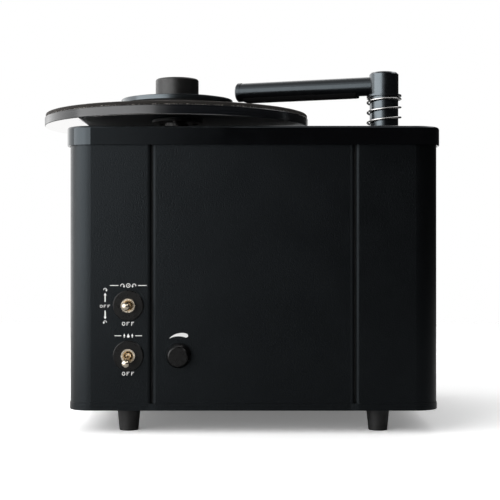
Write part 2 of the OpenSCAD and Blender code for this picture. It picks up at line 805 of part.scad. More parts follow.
// Mesh of a tube along points, with a flat cap at each end
function unit(v) = v / norm(v);
function way(p, i) = unit(p[min(i + 1, len(p) - 1)] - p[max(i - 1, 0)]);
function carry(n, t) = unit(n - (n * t) * t);
function frames(p, i, n) = i >= len(p) ? [] :
    let(m = carry(n, way(p, i))) concat([m], frames(p, i + 1, m));
function tube_points(p, r, sides, first) = let(f = frames(p, 0, first)) [
    for (i = [0:len(p) - 1], k = [0:sides - 1])
        let(a = 360 * k / sides) p[i] + r * (cos(a) * f[i] + sin(a) * cross(way(p, i), f[i]))
];
function tube_faces(rings, sides) = concat(
    [for (i = [0:rings - 2], k = [0:sides - 1])
        let(a = i * sides + k, b = i * sides + (k + 1) % sides) [a, a + sides, b + sides]],
    [for (i = [0:rings - 2], k = [0:sides - 1])
        let(a = i * sides + k, b = i * sides + (k + 1) % sides) [a, b + sides, b]],
    [[for (k = [0:sides - 1]) k]],
    [[for (k = [sides - 1:-1:0]) (rings - 1) * sides + k]]
);
module swept_tube(p, r, sides, first) {
    polyhedron(points = tube_points(p, r, sides, first), faces = tube_faces(len(p), sides));
}

spring_steps = ceil(spring_turns * spring_rings);
spring_path = [for (i = [0:spring_steps]) spring_point(spring_turns * i / spring_steps)];
spring_self_gap = min([for (i = [0:spring_steps - spring_rings], k = [-1:1])
    norm(spring_path[min(i + spring_rings + k, spring_steps)] - spring_path[i])]) - 2 * wire_r;
echo(spring_self_gap = spring_self_gap);

module arm_spring() color([0.80, 0.81, 0.83]) at_post(spring_z)
    rotate([0, 0, spring_start]) swept_tube(spring_path, wire_r, spring_sides, [1, 0, 0]);

module spring_washer() color([0.70, 0.71, 0.73]) at_post(lid_z + flange_web)
    ring(washer_r, post_r + 0.4, washer_t);

module arm_flange() color([0.06, 0.06, 0.065]) at_post(lid_z) {
    edge = 1;
    difference() {
        union() {
            cylinder(r = flange_r, h = flange_t - edge);
            translate([0, 0, flange_t - edge]) cylinder(r1 = flange_r, r2 = flange_r - edge, h = edge);
        }
        translate([0, 0, -1]) cylinder(r = post_r + 0.6, h = flange_t + 2);
        translate([0, 0, flange_web]) cylinder(r = washer_r + 0.3, h = flange_t);
        for (a = flange_screw_turns) rotate([0, 0, a]) translate([flange_screw_r, 0, -1]) {
            cylinder(r = 1.5 + screw_gap, h = flange_t + 2);
            translate([0, 0, flange_t - 1.4 + 1]) cylinder(r = 2.8 + screw_gap, h = 2);
        }
    }
}

// Guide under the lid: the post slides and turns in it, and the hose leaves its foot
module arm_guide() color([0.80, 0.80, 0.78]) at_post() difference() {
    union() {
        translate([0, 0, body_top - 4]) cylinder(r = 25, h = 4);
        translate([0, 0, guide_bottom]) cylinder(r = guide_r, h = body_top - guide_bottom);
        translate([0, 0, guide_bottom - port_l]) cylinder(r = port_r, h = port_l);
    }
    translate([0, 0, guide_bottom + 3]) cylinder(r = post_r + run, h = 100);
    translate([0, 0, guide_bottom - port_l - 1]) cylinder(r = port_bore, h = port_l + 10);
}

// Ribbed hose, straight down from the guide to the tank
module suction_hose() color([0.25, 0.25, 0.27]) at_post(port_z + 1) {
    hose_l = guide_bottom - port_z - 2;
    ribs = 14;
    rib_w = 2;
    difference() {
        union() {
            cylinder(r = hose_bore + 1.6, h = hose_l);
            for (i = [1:ribs]) translate([0, 0, (hose_l * i / (ribs + 1)) - rib_w / 2])
                cylinder(r = hose_bore + 3.2, h = rib_w);
        }
        translate([0, 0, -1]) cylinder(r = hose_bore, h = hose_l + 2);
    }
}

// Waste tank
module tank_plan(shrink = 0) {
    translate([(tank_x0 + tank_x1) / 2, (tank_y0 + tank_y1) / 2])
        rounded_2d(tank_x1 - tank_x0 - 2 * shrink, tank_y1 - tank_y0 - 2 * shrink, 10 - shrink);
}

module waste_tank() color([0.80, 0.82, 0.80]) at_case() difference() {
    union() {
        translate([0, 0, tank_z]) linear_extrude(tank_h) tank_plan();
        for (x = [tank_x0 + 12, tank_x1 - 11], y = [tank_y0 + 12, tank_y1 - 12])
            translate([x, y, floor_z]) cylinder(r = 6, h = tank_pad_h);
        translate([drain_x, tank_y1 - 1, drain_z]) rotate([-90, 0, 0]) cylinder(r = drain_r, h = 15);
    }
    translate([0, 0, tank_z + tank_wall]) linear_extrude(tank_h) tank_plan(tank_wall);
    translate([drain_x, tank_y1 - tank_wall - 1, drain_z]) rotate([-90, 0, 0])
        cylinder(r = drain_bore, h = 40);
}

module tank_gasket() color([0.06, 0.06, 0.06]) at_case(0, 0, tank_top) linear_extrude(gasket_t)
    difference() {
        tank_plan(0.3);
        tank_plan(tank_wall);
    }

module tank_cover() color([0.84, 0.85, 0.83]) at_case() difference() {
    union() {
        translate([0, 0, cover_z]) linear_extrude(cover_t) tank_plan();
        translate([post_x, post_y, port_z]) cylinder(r = port_r, h = port_l);
        translate([vac_x, outlet_y, port_z]) cylinder(r = port_r, h = port_l);
        translate([float_x, float_y, cover_z - float_guide_l])
            cylinder(r = float_bore + 2, h = float_guide_l);
    }
    translate([post_x, post_y, cover_z - 1]) cylinder(r = port_bore, h = port_l + 10);
    translate([vac_x, outlet_y, cover_z - 1]) cylinder(r = port_bore, h = port_l + 10);
    translate([float_x, float_y, cover_z - float_guide_l + 3])
        cylinder(r = float_bore, h = float_guide_l - 4);
    translate([float_x, float_y, cover_z - float_guide_l - 1]) cylinder(r = float_ball_r - 2, h = 6);
    for (a = [0, 60, 120]) translate([float_x, float_y, cover_z - float_guide_l + 8]) rotate([0, 0, a])
        translate([-20, -2.5, 0]) cube([40, 5, float_guide_l - 16]);
}

module float_ball() color([0.90, 0.55, 0.20])
    at_case(float_x, float_y, cover_z - float_guide_l + 3 + float_ball_r + 0.4) sphere(r = float_ball_r);

// Hose from the tank to the fan: up, over and down, in one upright plane
module hose_run(r) {
    side_z = hose_over_z - hose_bend;
    translate([0, outlet_y, port_z + 1]) cylinder(r = r, h = side_z - port_z - 1);
    translate([0, vac_y, intake_z + 1]) cylinder(r = r, h = side_z - intake_z - 1);
    translate([0, outlet_y + hose_bend, hose_over_z]) rotate([-90, 0, 0])
        cylinder(r = r, h = vac_y - outlet_y - 2 * hose_bend);
    translate([0, outlet_y + hose_bend, side_z]) rotate([0, -90, 0]) rotate([0, 0, -90])
        rotate_extrude(angle = 90) translate([hose_bend, 0]) circle(r);
    translate([0, vac_y - hose_bend, side_z]) rotate([0, -90, 0])
        rotate_extrude(angle = 90) translate([hose_bend, 0]) circle(r);
}

module vacuum_hose() color([0.22, 0.22, 0.24]) at_case(vac_x, 0, 0) difference() {
    hose_run(hose_bore + hose_wall);
    hose_run(hose_bore);
    translate([0, outlet_y, port_z]) cylinder(r = hose_bore, h = 3);
    translate([0, vac_y, intake_z]) cylinder(r = hose_bore, h = 3);
}

// Vacuum motor and fan
module at_vacuum(z = 0) {
    at_case(vac_x, vac_y, z) children();
}

module motor_mount() color([0.05, 0.05, 0.05]) at_vacuum(floor_z) difference() {
    cylinder(r = motor_r + 5, h = mount_h + 10);
    translate([0, 0, mount_h]) cylinder(r = motor_r + 0.1, h = 20);
    translate([0, 0, -1]) cylinder(r = motor_r - 10, h = 30);
}

module vacuum_motor() color([0.62, 0.63, 0.65]) at_vacuum(floor_z + mount_h) difference() {
    union() {
        cylinder(r = motor_r, h = motor_h);
        translate([-motor_r - 4, -6, 20]) cube([12, 12, 12]);
    }
    translate([0, 0, 20]) cylinder(r = 4 + run, h = motor_h);
    for (a = [0:45:315]) rotate([0, 0, a]) translate([motor_r - 4, -3, 44]) cube([10, 6, 26]);
}

module fan_housing() color([0.50, 0.51, 0.53]) at_vacuum(fan_z) difference() {
    union() {
        cylinder(r = fan_r, h = fan_h);
        translate([0, 0, fan_h]) cylinder(r = port_r, h = port_l);
        translate([-exhaust_w / 2 - fan_wall, 0, (fan_h - exhaust_h) / 2 - fan_wall])
            cube([exhaust_w + 2 * fan_wall, fan_r + 4, exhaust_h + 2 * fan_wall]);
    }
    translate([0, 0, fan_wall]) cylinder(r = fan_r - fan_wall, h = fan_h - 2 * fan_wall);
    translate([0, 0, fan_h - fan_wall - 1]) cylinder(r = port_bore, h = port_l + 10);
    translate([0, 0, -1]) cylinder(r = 5, h = 10);
    translate([-exhaust_w / 2, fan_r / 2, (fan_h - exhaust_h) / 2]) cube([exhaust_w, fan_r, exhaust_h]);
}

module vacuum_impeller() color([0.75, 0.76, 0.78]) at_vacuum() {
    disc_r = fan_r - fan_wall - 6;
    vane_h = 16;
    translate([0, 0, floor_z + mount_h + 20.5]) cylinder(r = 4, h = fan_z + 24 - floor_z - mount_h - 20.5);
    translate([0, 0, fan_z + 5]) cylinder(r = disc_r, h = 2);
    for (i = [0:8]) translate([0, 0, fan_z + 7]) rotate([0, 0, 40 * i]) translate([16, 0, 0])
        rotate([0, 0, 35]) cube([disc_r - 20, 1.6, vane_h]);
}

module exhaust_duct() color([0.10, 0.10, 0.11]) at_case() {
    z0 = fan_z + (fan_h - exhaust_h) / 2;
    difference() {
        translate([vac_x - exhaust_w / 2 - fan_wall, exhaust_y, z0 - fan_wall])
            cube([exhaust_w + 2 * fan_wall, back_y - sheet_t - exhaust_y, exhaust_h + 2 * fan_wall]);
        translate([vac_x - exhaust_w / 2, exhaust_y - 1, z0]) cube([exhaust_w, 60, exhaust_h]);
    }
}

module exhaust_grille() color([0.05, 0.05, 0.055]) at_case(vac_x, back_y, fan_z + fan_h / 2)
    facing_back() difference() {
        frame_w = 8;
        linear_extrude(1.8) rounded_2d(exhaust_w + 2 * frame_w, exhaust_h + 2 * frame_w, 4);
        for (i = [-4:4]) translate([-exhaust_w / 2, i * 3 - 1, -1]) cube([exhaust_w, 1.7, 4]);
    }

// Drain
module drain_hose() color([0.30, 0.31, 0.33]) at_case(drain_x, tank_y1 + 1, drain_z) rotate([-90, 0, 0])
    ring(drain_r + 2, drain_r + snug, back_y - sheet_t - tank_y1 - 5);

module drain_tap() color([0.72, 0.60, 0.35]) at_case(drain_x, 0, drain_z) difference() {
    union() {
        translate([-tap_block / 2, back_y, -6.5]) cube([tap_block, tap_block, 14.5]);
        translate([0, back_y - 14, 0]) rotate([-90, 0, 0]) cylinder(r = drain_r, h = 15);
        translate([0, back_y - sheet_t, 0]) rotate([-90, 0, 0]) cylinder(r = drain_r + 1, h = 3);
        translate([0, back_y + tap_block - 1, 0]) rotate([-90, 0, 0])
            cylinder(r = drain_r, h = drain_reach - tap_block + 1);
    }
    translate([0, back_y - 20, 0]) rotate([-90, 0, 0]) cylinder(r = drain_bore, h = 70);
    translate([0, tap_y, 0]) sphere(r = tap_ball_r + run);
    translate([0, tap_y, 0]) cylinder(r = 2.5 + run, h = 20);
}

// Ball, stem and handle of the tap; shut at rest, with the handle across the bore
module drain_lever() color([0.75, 0.15, 0.12]) at_case(drain_x, tap_y, drain_z) {
    difference() {
        union() {
            sphere(r = tap_ball_r);
            cylinder(r = 2.5, h = 11.5);
        }
        rotate([0, 90, 0]) cylinder(r = drain_bore, h = 20, center = true);
    }
    translate([0, 0, 8.5]) {
        cylinder(r = 4.5, h = 3);
        translate([0, -3, 0]) cube([20, 6, 3]);
    }
}

// Mains inlet with its fuse drawer
module power_inlet() color([0.04, 0.04, 0.045]) at_case(inlet_x, back_y, inlet_z) facing_back() {
    chamfer = 5;
    difference() {
        union() {
            linear_extrude(inlet_flange_t) rounded_2d(inlet_flange_w, inlet_flange_h, 4);
            translate([-inlet_w / 2 + 0.2, -inlet_h / 2 + 0.2, -inlet_deep])
                cube([inlet_w - 0.4, inlet_h - 0.4, inlet_deep]);
        }
        translate([0, socket_up, inlet_flange_t - socket_deep]) linear_extrude(socket_deep + 1) polygon([
            [-socket_w / 2, -socket_h / 2], [socket_w / 2, -socket_h / 2],
            [socket_w / 2, socket_h / 2 - chamfer], [socket_w / 2 - chamfer, socket_h / 2],
            [-socket_w / 2 + chamfer, socket_h / 2], [-socket_w / 2, socket_h / 2 - chamfer]
        ]);
        translate([-drawer_w / 2 - 0.3, drawer_down - drawer_h / 2 - 0.3, inlet_flange_t - drawer_deep - 1])
            cube([drawer_w + 0.6, drawer_h + 0.6, drawer_deep + 2]);
        for (s = [-1, 1]) translate([s * 20, 0, -1]) cylinder(r = 1.7, h = 10);
    }
    for (pin = [[-7, -2], [7, -2], [0, 2]])
        translate([pin.x - 1, socket_up + pin.y - 2, inlet_flange_t - socket_deep]) cube([2, 4, 11]);
}

module fuse_drawer() color([0.06, 0.06, 0.065]) at_case(inlet_x, back_y, inlet_z) facing_back() {
    difference() {
        translate([-drawer_w / 2, drawer_down - drawer_h / 2, inlet_flange_t - drawer_deep])
            cube([drawer_w, drawer_h, drawer_deep + 1]);
        translate([-drawer_w / 2 + 2, drawer_down - drawer_h / 2 + 1.5, inlet_flange_t - drawer_deep + 2])
            cube([drawer_w - 4, drawer_h, 10]);
    }
    translate([0, drawer_down + drawer_h / 2 - 2, inlet_flange_t + 1]) cube([10, 1.5, 1.6], center = true);
}

// Control board on four pillars, with its transformer, relays and capacitor
module control_board() {
    color([0.05, 0.25, 0.12]) at_case(0, 0, board_z)
        translate([board_x0, board_y0, 0]) cube([board_x1 - board_x0, board_y1 - board_y0, board_t]);
    color([0.75, 0.72, 0.6]) for (x = [board_x0 + 6, board_x1 - 6], y = [board_y0 + 6, board_y1 - 6])
        at_case(x, y, floor_z) cylinder(r = 3, h = board_z - floor_z);
    color([0.35, 0.33, 0.30]) at_case(board_x0 + 10, board_y0 + 44, board_top) {
        cube([44, 38, 34]);
        translate([-3, 8, 8]) cube([50, 22, 18]);
    }
    color([0.15, 0.3, 0.6]) for (y = [52, 70])
        at_case(board_x0 + 62, board_y0 + y, board_top) cube([20, 15, 15]);
    color([0.1, 0.1, 0.3]) at_case(board_x0 + 72, board_y0 + 26, board_top) cylinder(r = 8, h = 24);
}

// Wire looms that run inside the case
module wire_looms() color([0.15, 0.15, 0.16]) at_case() {
    for (loom = [loom_turntable, loom_switch, loom_level, loom_inlet, loom_drive])
        swept_tube(loom, loom_r, 8, [1, 0, 0]);
    swept_tube(loom_vacuum, loom_r, 8, [0, 0, 1]);
}

// Toggle switches: body behind the sheet, threaded bushing through it with a key slot below
module switch_body() {
    body_size = [15, 28, 24];
    mouth = 4.6;
    difference() {
        union() {
            translate([-body_size.x / 2, -body_size.y / 2, -sheet_t - body_size.z]) cube(body_size);
            translate([0, 0, -sheet_t - 1]) cylinder(r = bushing_r, h = sheet_t + 1 + bushing_out);
        }
        translate([0, 0, -sheet_t - 8]) cylinder(r = pivot_r + run, h = 40);
        translate([0, 0, -pivot_back])
            cylinder(r1 = pivot_r + run, r2 = mouth, h = pivot_back + bushing_out);
        translate([0, 0, bushing_out - 0.01]) cylinder(r = mouth, h = 1);
        translate([-0.8, -bushing_r - 1, switch_disc_t + 0.3]) cube([1.6, 2.2, 5]);
    }
}

// The two toggle switches, and the level control with its nut
module switch_bodies() color([0.78, 0.74, 0.64]) {
    for (z = [turntable_switch_z, vacuum_switch_z])
        at_case(switch_x, front_y, z) facing_front() switch_body();
    at_case(knob_x, front_y, knob_z) facing_front() difference() {
        union() {
            translate([0, 0, -sheet_t - 11]) cylinder(r = 12, h = 11);
            translate([0, 0, -sheet_t - 1]) cylinder(r = pot_bush_r, h = sheet_t + 5.5);
            cylinder(r = 6, h = 2.2, $fn = 6);
        }
        translate([0, 0, -sheet_t - 6]) cylinder(r = pot_shaft_r + run, h = 40);
    }
}

module switch_discs() color([0.04, 0.04, 0.045])
    for (z = [turntable_switch_z, vacuum_switch_z]) at_case(switch_x, front_y, z) facing_front() {
        edge = 0.6;
        difference() {
            union() {
                cylinder(r = switch_disc_r, h = switch_disc_t - edge);
                translate([0, 0, switch_disc_t - edge])
                    cylinder(r1 = switch_disc_r, r2 = switch_disc_r - edge, h = edge);
            }
            translate([0, 0, -1]) cylinder(r = bushing_r + snug, h = switch_disc_t + 2);
        }
    }

// A toggle's ball in the bushing, its tapered bat and round end; tilt > 0 lifts the end
module toggle(z, tilt) color([0.78, 0.77, 0.74])
    at_case(switch_x, front_y + pivot_back, z) facing_front() rotate([-tilt, 0, 0]) {
        sphere(r = pivot_r);
        cylinder(r1 = 1.3, r2 = 2.2, h = toggle_l);
        translate([0, 0, toggle_l]) sphere(r = toggle_ball_r);
    }

module turntable_toggle() toggle(turntable_switch_z, 0);

module vacuum_toggle() toggle(vacuum_switch_z, -toggle_tilt);

module level_knob() color([0.05, 0.05, 0.055]) at_case(knob_x, front_y, knob_z) facing_front() {
    face_r = knob_r - 2.1;
    skirt = 4;
    edge = 1;
    skin = 0.4;
    difference() {
        union() {
            translate([0, 0, skin]) cylinder(r = knob_r, h = skirt - skin);
            translate([0, 0, skirt]) cylinder(r1 = knob_r, r2 = face_r, h = knob_h - skirt - edge);
            translate([0, 0, knob_h - edge]) cylinder(r1 = face_r, r2 = face_r - edge, h = edge);
        }
        translate([0, 0, -1]) cylinder(r = 7, h = 4);
        translate([0, 0, -1]) cylinder(r = pot_bush_r + 0.5, h = 6);
        translate([0, 0, -1]) cylinder(r = pot_shaft_r, h = 11);
    }
    translate([0, 0, -sheet_t - 5.5]) cylinder(r = pot_shaft_r, h = sheet_t + 15.5);
}

base_plate();
left_side_shell();
right_side_shell();
front_panel();
rear_panel();
top_lid();
seam_seals();
shell_brackets();
case_screws();
feet();
platter();
platter_mat();
platter_hub();
spindle();
bearing_housing();
bearing_bushes();
drive_gear();
motor_pinion();
motor_shaft();
gearbox_case();
gearbox_cover();
platter_motor();
drive_standoffs();
clamp_disc();
clamp_seal();
clamp_knob();
arm_post();
arm_head();
arm_tube();
arm_end_cap();
arm_pads();
spring_collar();
arm_spring();
spring_washer();
arm_flange();
arm_guide();
suction_hose();
waste_tank();
tank_gasket();
tank_cover();
float_ball();
vacuum_hose();
vacuum_motor();
motor_mount();
fan_housing();
vacuum_impeller();
exhaust_duct();
exhaust_grille();
drain_hose();
drain_tap();
drain_lever();
power_inlet();
fuse_drawer();
control_board();
wire_looms();
switch_bodies();
switch_discs();
turntable_toggle();
vacuum_toggle();
level_knob();
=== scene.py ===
"""Looks of a record cleaning machine: finishes, fine pieces, print, light and camera for its model."""

import json
import math
import random

import bmesh
import bpy
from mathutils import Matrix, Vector


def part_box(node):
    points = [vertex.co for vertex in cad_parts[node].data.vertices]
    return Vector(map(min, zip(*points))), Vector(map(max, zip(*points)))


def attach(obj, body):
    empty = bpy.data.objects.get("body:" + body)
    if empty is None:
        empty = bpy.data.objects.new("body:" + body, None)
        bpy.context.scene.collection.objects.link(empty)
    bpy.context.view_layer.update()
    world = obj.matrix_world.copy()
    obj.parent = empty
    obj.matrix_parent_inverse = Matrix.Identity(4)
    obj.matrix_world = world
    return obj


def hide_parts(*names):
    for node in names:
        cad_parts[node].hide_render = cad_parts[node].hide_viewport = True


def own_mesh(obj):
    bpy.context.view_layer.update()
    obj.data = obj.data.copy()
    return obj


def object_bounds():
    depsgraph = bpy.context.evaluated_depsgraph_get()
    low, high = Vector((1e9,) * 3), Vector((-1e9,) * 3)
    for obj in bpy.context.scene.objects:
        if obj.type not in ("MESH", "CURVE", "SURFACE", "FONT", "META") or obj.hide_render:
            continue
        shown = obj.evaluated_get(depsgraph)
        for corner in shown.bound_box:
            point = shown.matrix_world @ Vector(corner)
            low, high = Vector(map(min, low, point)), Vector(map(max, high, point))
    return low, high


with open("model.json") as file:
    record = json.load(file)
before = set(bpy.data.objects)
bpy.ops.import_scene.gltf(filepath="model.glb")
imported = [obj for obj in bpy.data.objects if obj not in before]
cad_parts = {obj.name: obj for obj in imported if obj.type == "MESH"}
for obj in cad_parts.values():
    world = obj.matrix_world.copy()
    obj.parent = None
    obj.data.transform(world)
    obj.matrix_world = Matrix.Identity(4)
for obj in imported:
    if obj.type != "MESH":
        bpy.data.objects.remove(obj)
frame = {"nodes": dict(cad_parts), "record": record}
cad_low, cad_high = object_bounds()

MM = 0.001
nodes = frame["nodes"]
random.seed(7)


def centre_of(node):
    low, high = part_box(node)
    return (low + high) / 2


def size_of(node):
    low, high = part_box(node)
    return high - low


# Camera: level, looking along +Y, as far off as the photo's perspective says
PICTURE = 500
FOCAL_PX = 1200
SENSOR_WIDTH = 36
CLIP = (0.05, 50)
CAMERA_BACK = 1019 * MM
CAMERA_UNDER_LID = 105.7 * MM
CAMERA_LEFT = 2.95 * MM


def make_camera():
    low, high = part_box("top_lid")
    data = bpy.data.cameras.new("camera")
    data.sensor_width = SENSOR_WIDTH
    data.lens = FOCAL_PX / PICTURE * data.sensor_width
    data.clip_start, data.clip_end = CLIP
    camera = bpy.data.objects.new("camera", data)
    camera.location = (
        (low.x + high.x) / 2 - CAMERA_LEFT,
        low.y - CAMERA_BACK,
        high.z - CAMERA_UNDER_LID,
    )
    camera.rotation_euler = (math.radians(90), 0, 0)
    bpy.context.scene.collection.objects.link(camera)
    bpy.context.scene.camera = camera


make_camera()


# Studio: pale floor, white backdrop, soft lamps
def add_node(tree, kind, inputs=None, **settings):
    node = tree.nodes.new(kind)
    for name, value in settings.items():
        setattr(node, name, value)
    for name, value in (inputs or {}).items():
        if isinstance(value, bpy.types.NodeSocket):
            tree.links.new(value, node.inputs[name])
        else:
            node.inputs[name].default_value = value
    return node


# Levels of the world's light, where 1 is the white backdrop
WORLD_LEVEL = 0.42
DARK_FRONT = 0.022
LEFT_LEVEL = 2.4
HALO_LEVEL = 0.85
CEILING_LEVEL = 2.4

# Where each light lies: one coordinate of the direction, from where it starts to where it is full
BACKDROP_Y = (0.15, 0.45)
BACKDROP_ASIDE = (0.36, 0.22)
LEFT_X = (-0.25, -0.60)
HALO_X = (-0.02, -0.17)
CEILING_LOW_Z = (0.56, 0.66)
CEILING_HIGH_Z = (0.88, 0.78)

FLOOR_SIZE = 8
FLOOR_FADE = (0.75, 1.6)
FLOOR_PAPER = 0.80
FLOOR_SHOWN = 1.45
FLOOR_LIFT = 0.16
FLOOR_FRONT = 0.65
FLOOR_FRONT_Y = (0.1, -0.3)


def ramp(tree, value, start, end, low=0.0, high=1.0):
    """value from start..end to low..high, and no further."""
    return add_node(tree, "ShaderNodeMapRange", {
        "Value": value, "From Min": start, "From Max": end, "To Min": low, "To Max": high,
    }).outputs["Result"]


def maths(tree, operation, *values):
    inputs = dict(enumerate(values))
    return add_node(tree, "ShaderNodeMath", inputs, operation=operation).outputs["Value"]


def product(tree, *levels):
    result = levels[0]
    for level in levels[1:]:
        result = maths(tree, "MULTIPLY", result, level)
    return result


def brightest(tree, *levels):
    result = levels[0]
    for level in levels[1:]:
        result = maths(tree, "MAXIMUM", result, level)
    return result


def make_world():
    """For gloss, white behind and at the left and dark in front and at the right; for the rest, even."""
    world = bpy.data.worlds.new("studio")
    world.use_nodes = True
    tree = world.node_tree
    tree.nodes.clear()
    out = add_node(tree, "ShaderNodeOutputWorld")
    ray = add_node(tree, "ShaderNodeLightPath").outputs
    place = add_node(tree, "ShaderNodeTexCoord").outputs["Generated"]
    x, y, z = add_node(tree, "ShaderNodeSeparateXYZ", {"Vector": place}).outputs
    aside = maths(tree, "ABSOLUTE", x)
    backdrop = product(tree, ramp(tree, y, *BACKDROP_Y), ramp(tree, aside, *BACKDROP_ASIDE))
    left = ramp(tree, x, *LEFT_X, 0.0, LEFT_LEVEL)
    halo = ramp(tree, x, *HALO_X, 0.0, HALO_LEVEL)
    ceiling = product(tree, ramp(tree, z, *CEILING_LOW_Z, 0.0, CEILING_LEVEL),
                      ramp(tree, z, *CEILING_HIGH_Z))
    seen = brightest(tree, backdrop, left, halo, ceiling, DARK_FRONT)
    mirror = brightest(tree, ray["Is Glossy Ray"], ray["Is Transmission Ray"])
    white = (1, 1, 1, 1)
    soft = add_node(tree, "ShaderNodeBackground", {"Color": white, "Strength": WORLD_LEVEL}).outputs[0]
    gloss = add_node(tree, "ShaderNodeBackground", {"Color": white, "Strength": seen}).outputs[0]
    plain = add_node(tree, "ShaderNodeBackground", {"Color": white, "Strength": 1.0}).outputs[0]
    mixed = add_node(tree, "ShaderNodeMixShader", {0: mirror, 1: soft, 2: gloss}).outputs[0]
    direct = ray["Is Camera Ray"]
    shown = add_node(tree, "ShaderNodeMixShader", {0: direct, 1: mixed, 2: plain}).outputs[0]
    tree.links.new(shown, out.inputs["Surface"])
    bpy.context.scene.world = world


def make_floor():
    """Pale paper that keeps the shadow and fades into the white of the world further out."""
    bpy.ops.mesh.primitive_plane_add(size=FLOOR_SIZE, location=(0, 0, 0))
    floor = bpy.context.object
    floor.name = "floor"
    material = bpy.data.materials.new("floor_paper")
    material.use_nodes = True
    tree = material.node_tree
    tree.nodes.clear()
    out = add_node(tree, "ShaderNodeOutputMaterial")
    ray = add_node(tree, "ShaderNodeLightPath").outputs
    place = add_node(tree, "ShaderNodeTexCoord").outputs["Object"]
    y = add_node(tree, "ShaderNodeSeparateXYZ", {"Vector": place}).outputs["Y"]
    mirror = brightest(tree, ray["Is Glossy Ray"], ray["Is Transmission Ray"])
    mirrored_front = product(tree, mirror, ramp(tree, y, *FLOOR_FRONT_Y))
    level = product(tree, ramp(tree, ray["Is Camera Ray"], 0, 1, FLOOR_PAPER, FLOOR_SHOWN),
                    ramp(tree, mirrored_front, 0, 1, 1, FLOOR_FRONT))
    colour = add_node(tree, "ShaderNodeCombineXYZ", {"X": level, "Y": level, "Z": level}).outputs[0]
    matt = add_node(tree, "ShaderNodeBsdfDiffuse", {"Color": colour}).outputs[0]
    lift = ramp(tree, ray["Is Camera Ray"], 0, 1, 0, FLOOR_LIFT)
    glow = add_node(tree, "ShaderNodeEmission", {"Strength": lift}).outputs[0]
    paper = add_node(tree, "ShaderNodeAddShader", {0: matt, 1: glow}).outputs[0]
    away = add_node(tree, "ShaderNodeVectorMath", {0: place}, operation="LENGTH").outputs["Value"]
    clear = add_node(tree, "ShaderNodeBsdfTransparent").outputs[0]
    faded = ramp(tree, away, *FLOOR_FADE)
    shown = add_node(tree, "ShaderNodeMixShader", {0: faded, 1: paper, 2: clear}).outputs[0]
    tree.links.new(shown, out.inputs["Surface"])
    floor.data.materials.append(material)


def soft_lamp(name, place, target, width, height, level, mirrored=True):
    """An area lamp whose face shines as bright as a white sheet times level."""
    data = bpy.data.lights.new(name, "AREA")
    data.shape = "RECTANGLE"
    data.size, data.size_y = width, height
    data.energy = level * math.pi * width * height
    lamp = bpy.data.objects.new(name, data)
    lamp.location = place
    way = Vector(target) - Vector(place)
    lamp.rotation_euler = way.to_track_quat("-Z", "Y").to_euler()
    lamp.visible_camera = False
    lamp.visible_glossy = mirrored
    bpy.context.scene.collection.objects.link(lamp)


make_world()
make_floor()
soft_lamp("left_window", place=(-0.95, -0.85, 0.62), target=(-0.136, -0.269, 0.62),
          width=1.72, height=1.2, level=3.3)
soft_lamp("top_window", place=(-0.3, 0.5, 1.9), target=(0, 0, 0.1),
          width=1.6, height=1.2, level=1.6, mirrored=False)
soft_lamp("right_fill", place=(1.9, 0.9, 0.6), target=(0, 0, 0.12),
          width=1.0, height=1.0, level=0.5, mirrored=False)
bpy.context.scene.view_settings.view_transform = "Standard"


# Finishes
SHEET_T = 2 * MM
FOLD = 3.5 * MM
SKIN = 0.1 * MM
COOL = (0.80, 0.92, 1.0, 1)


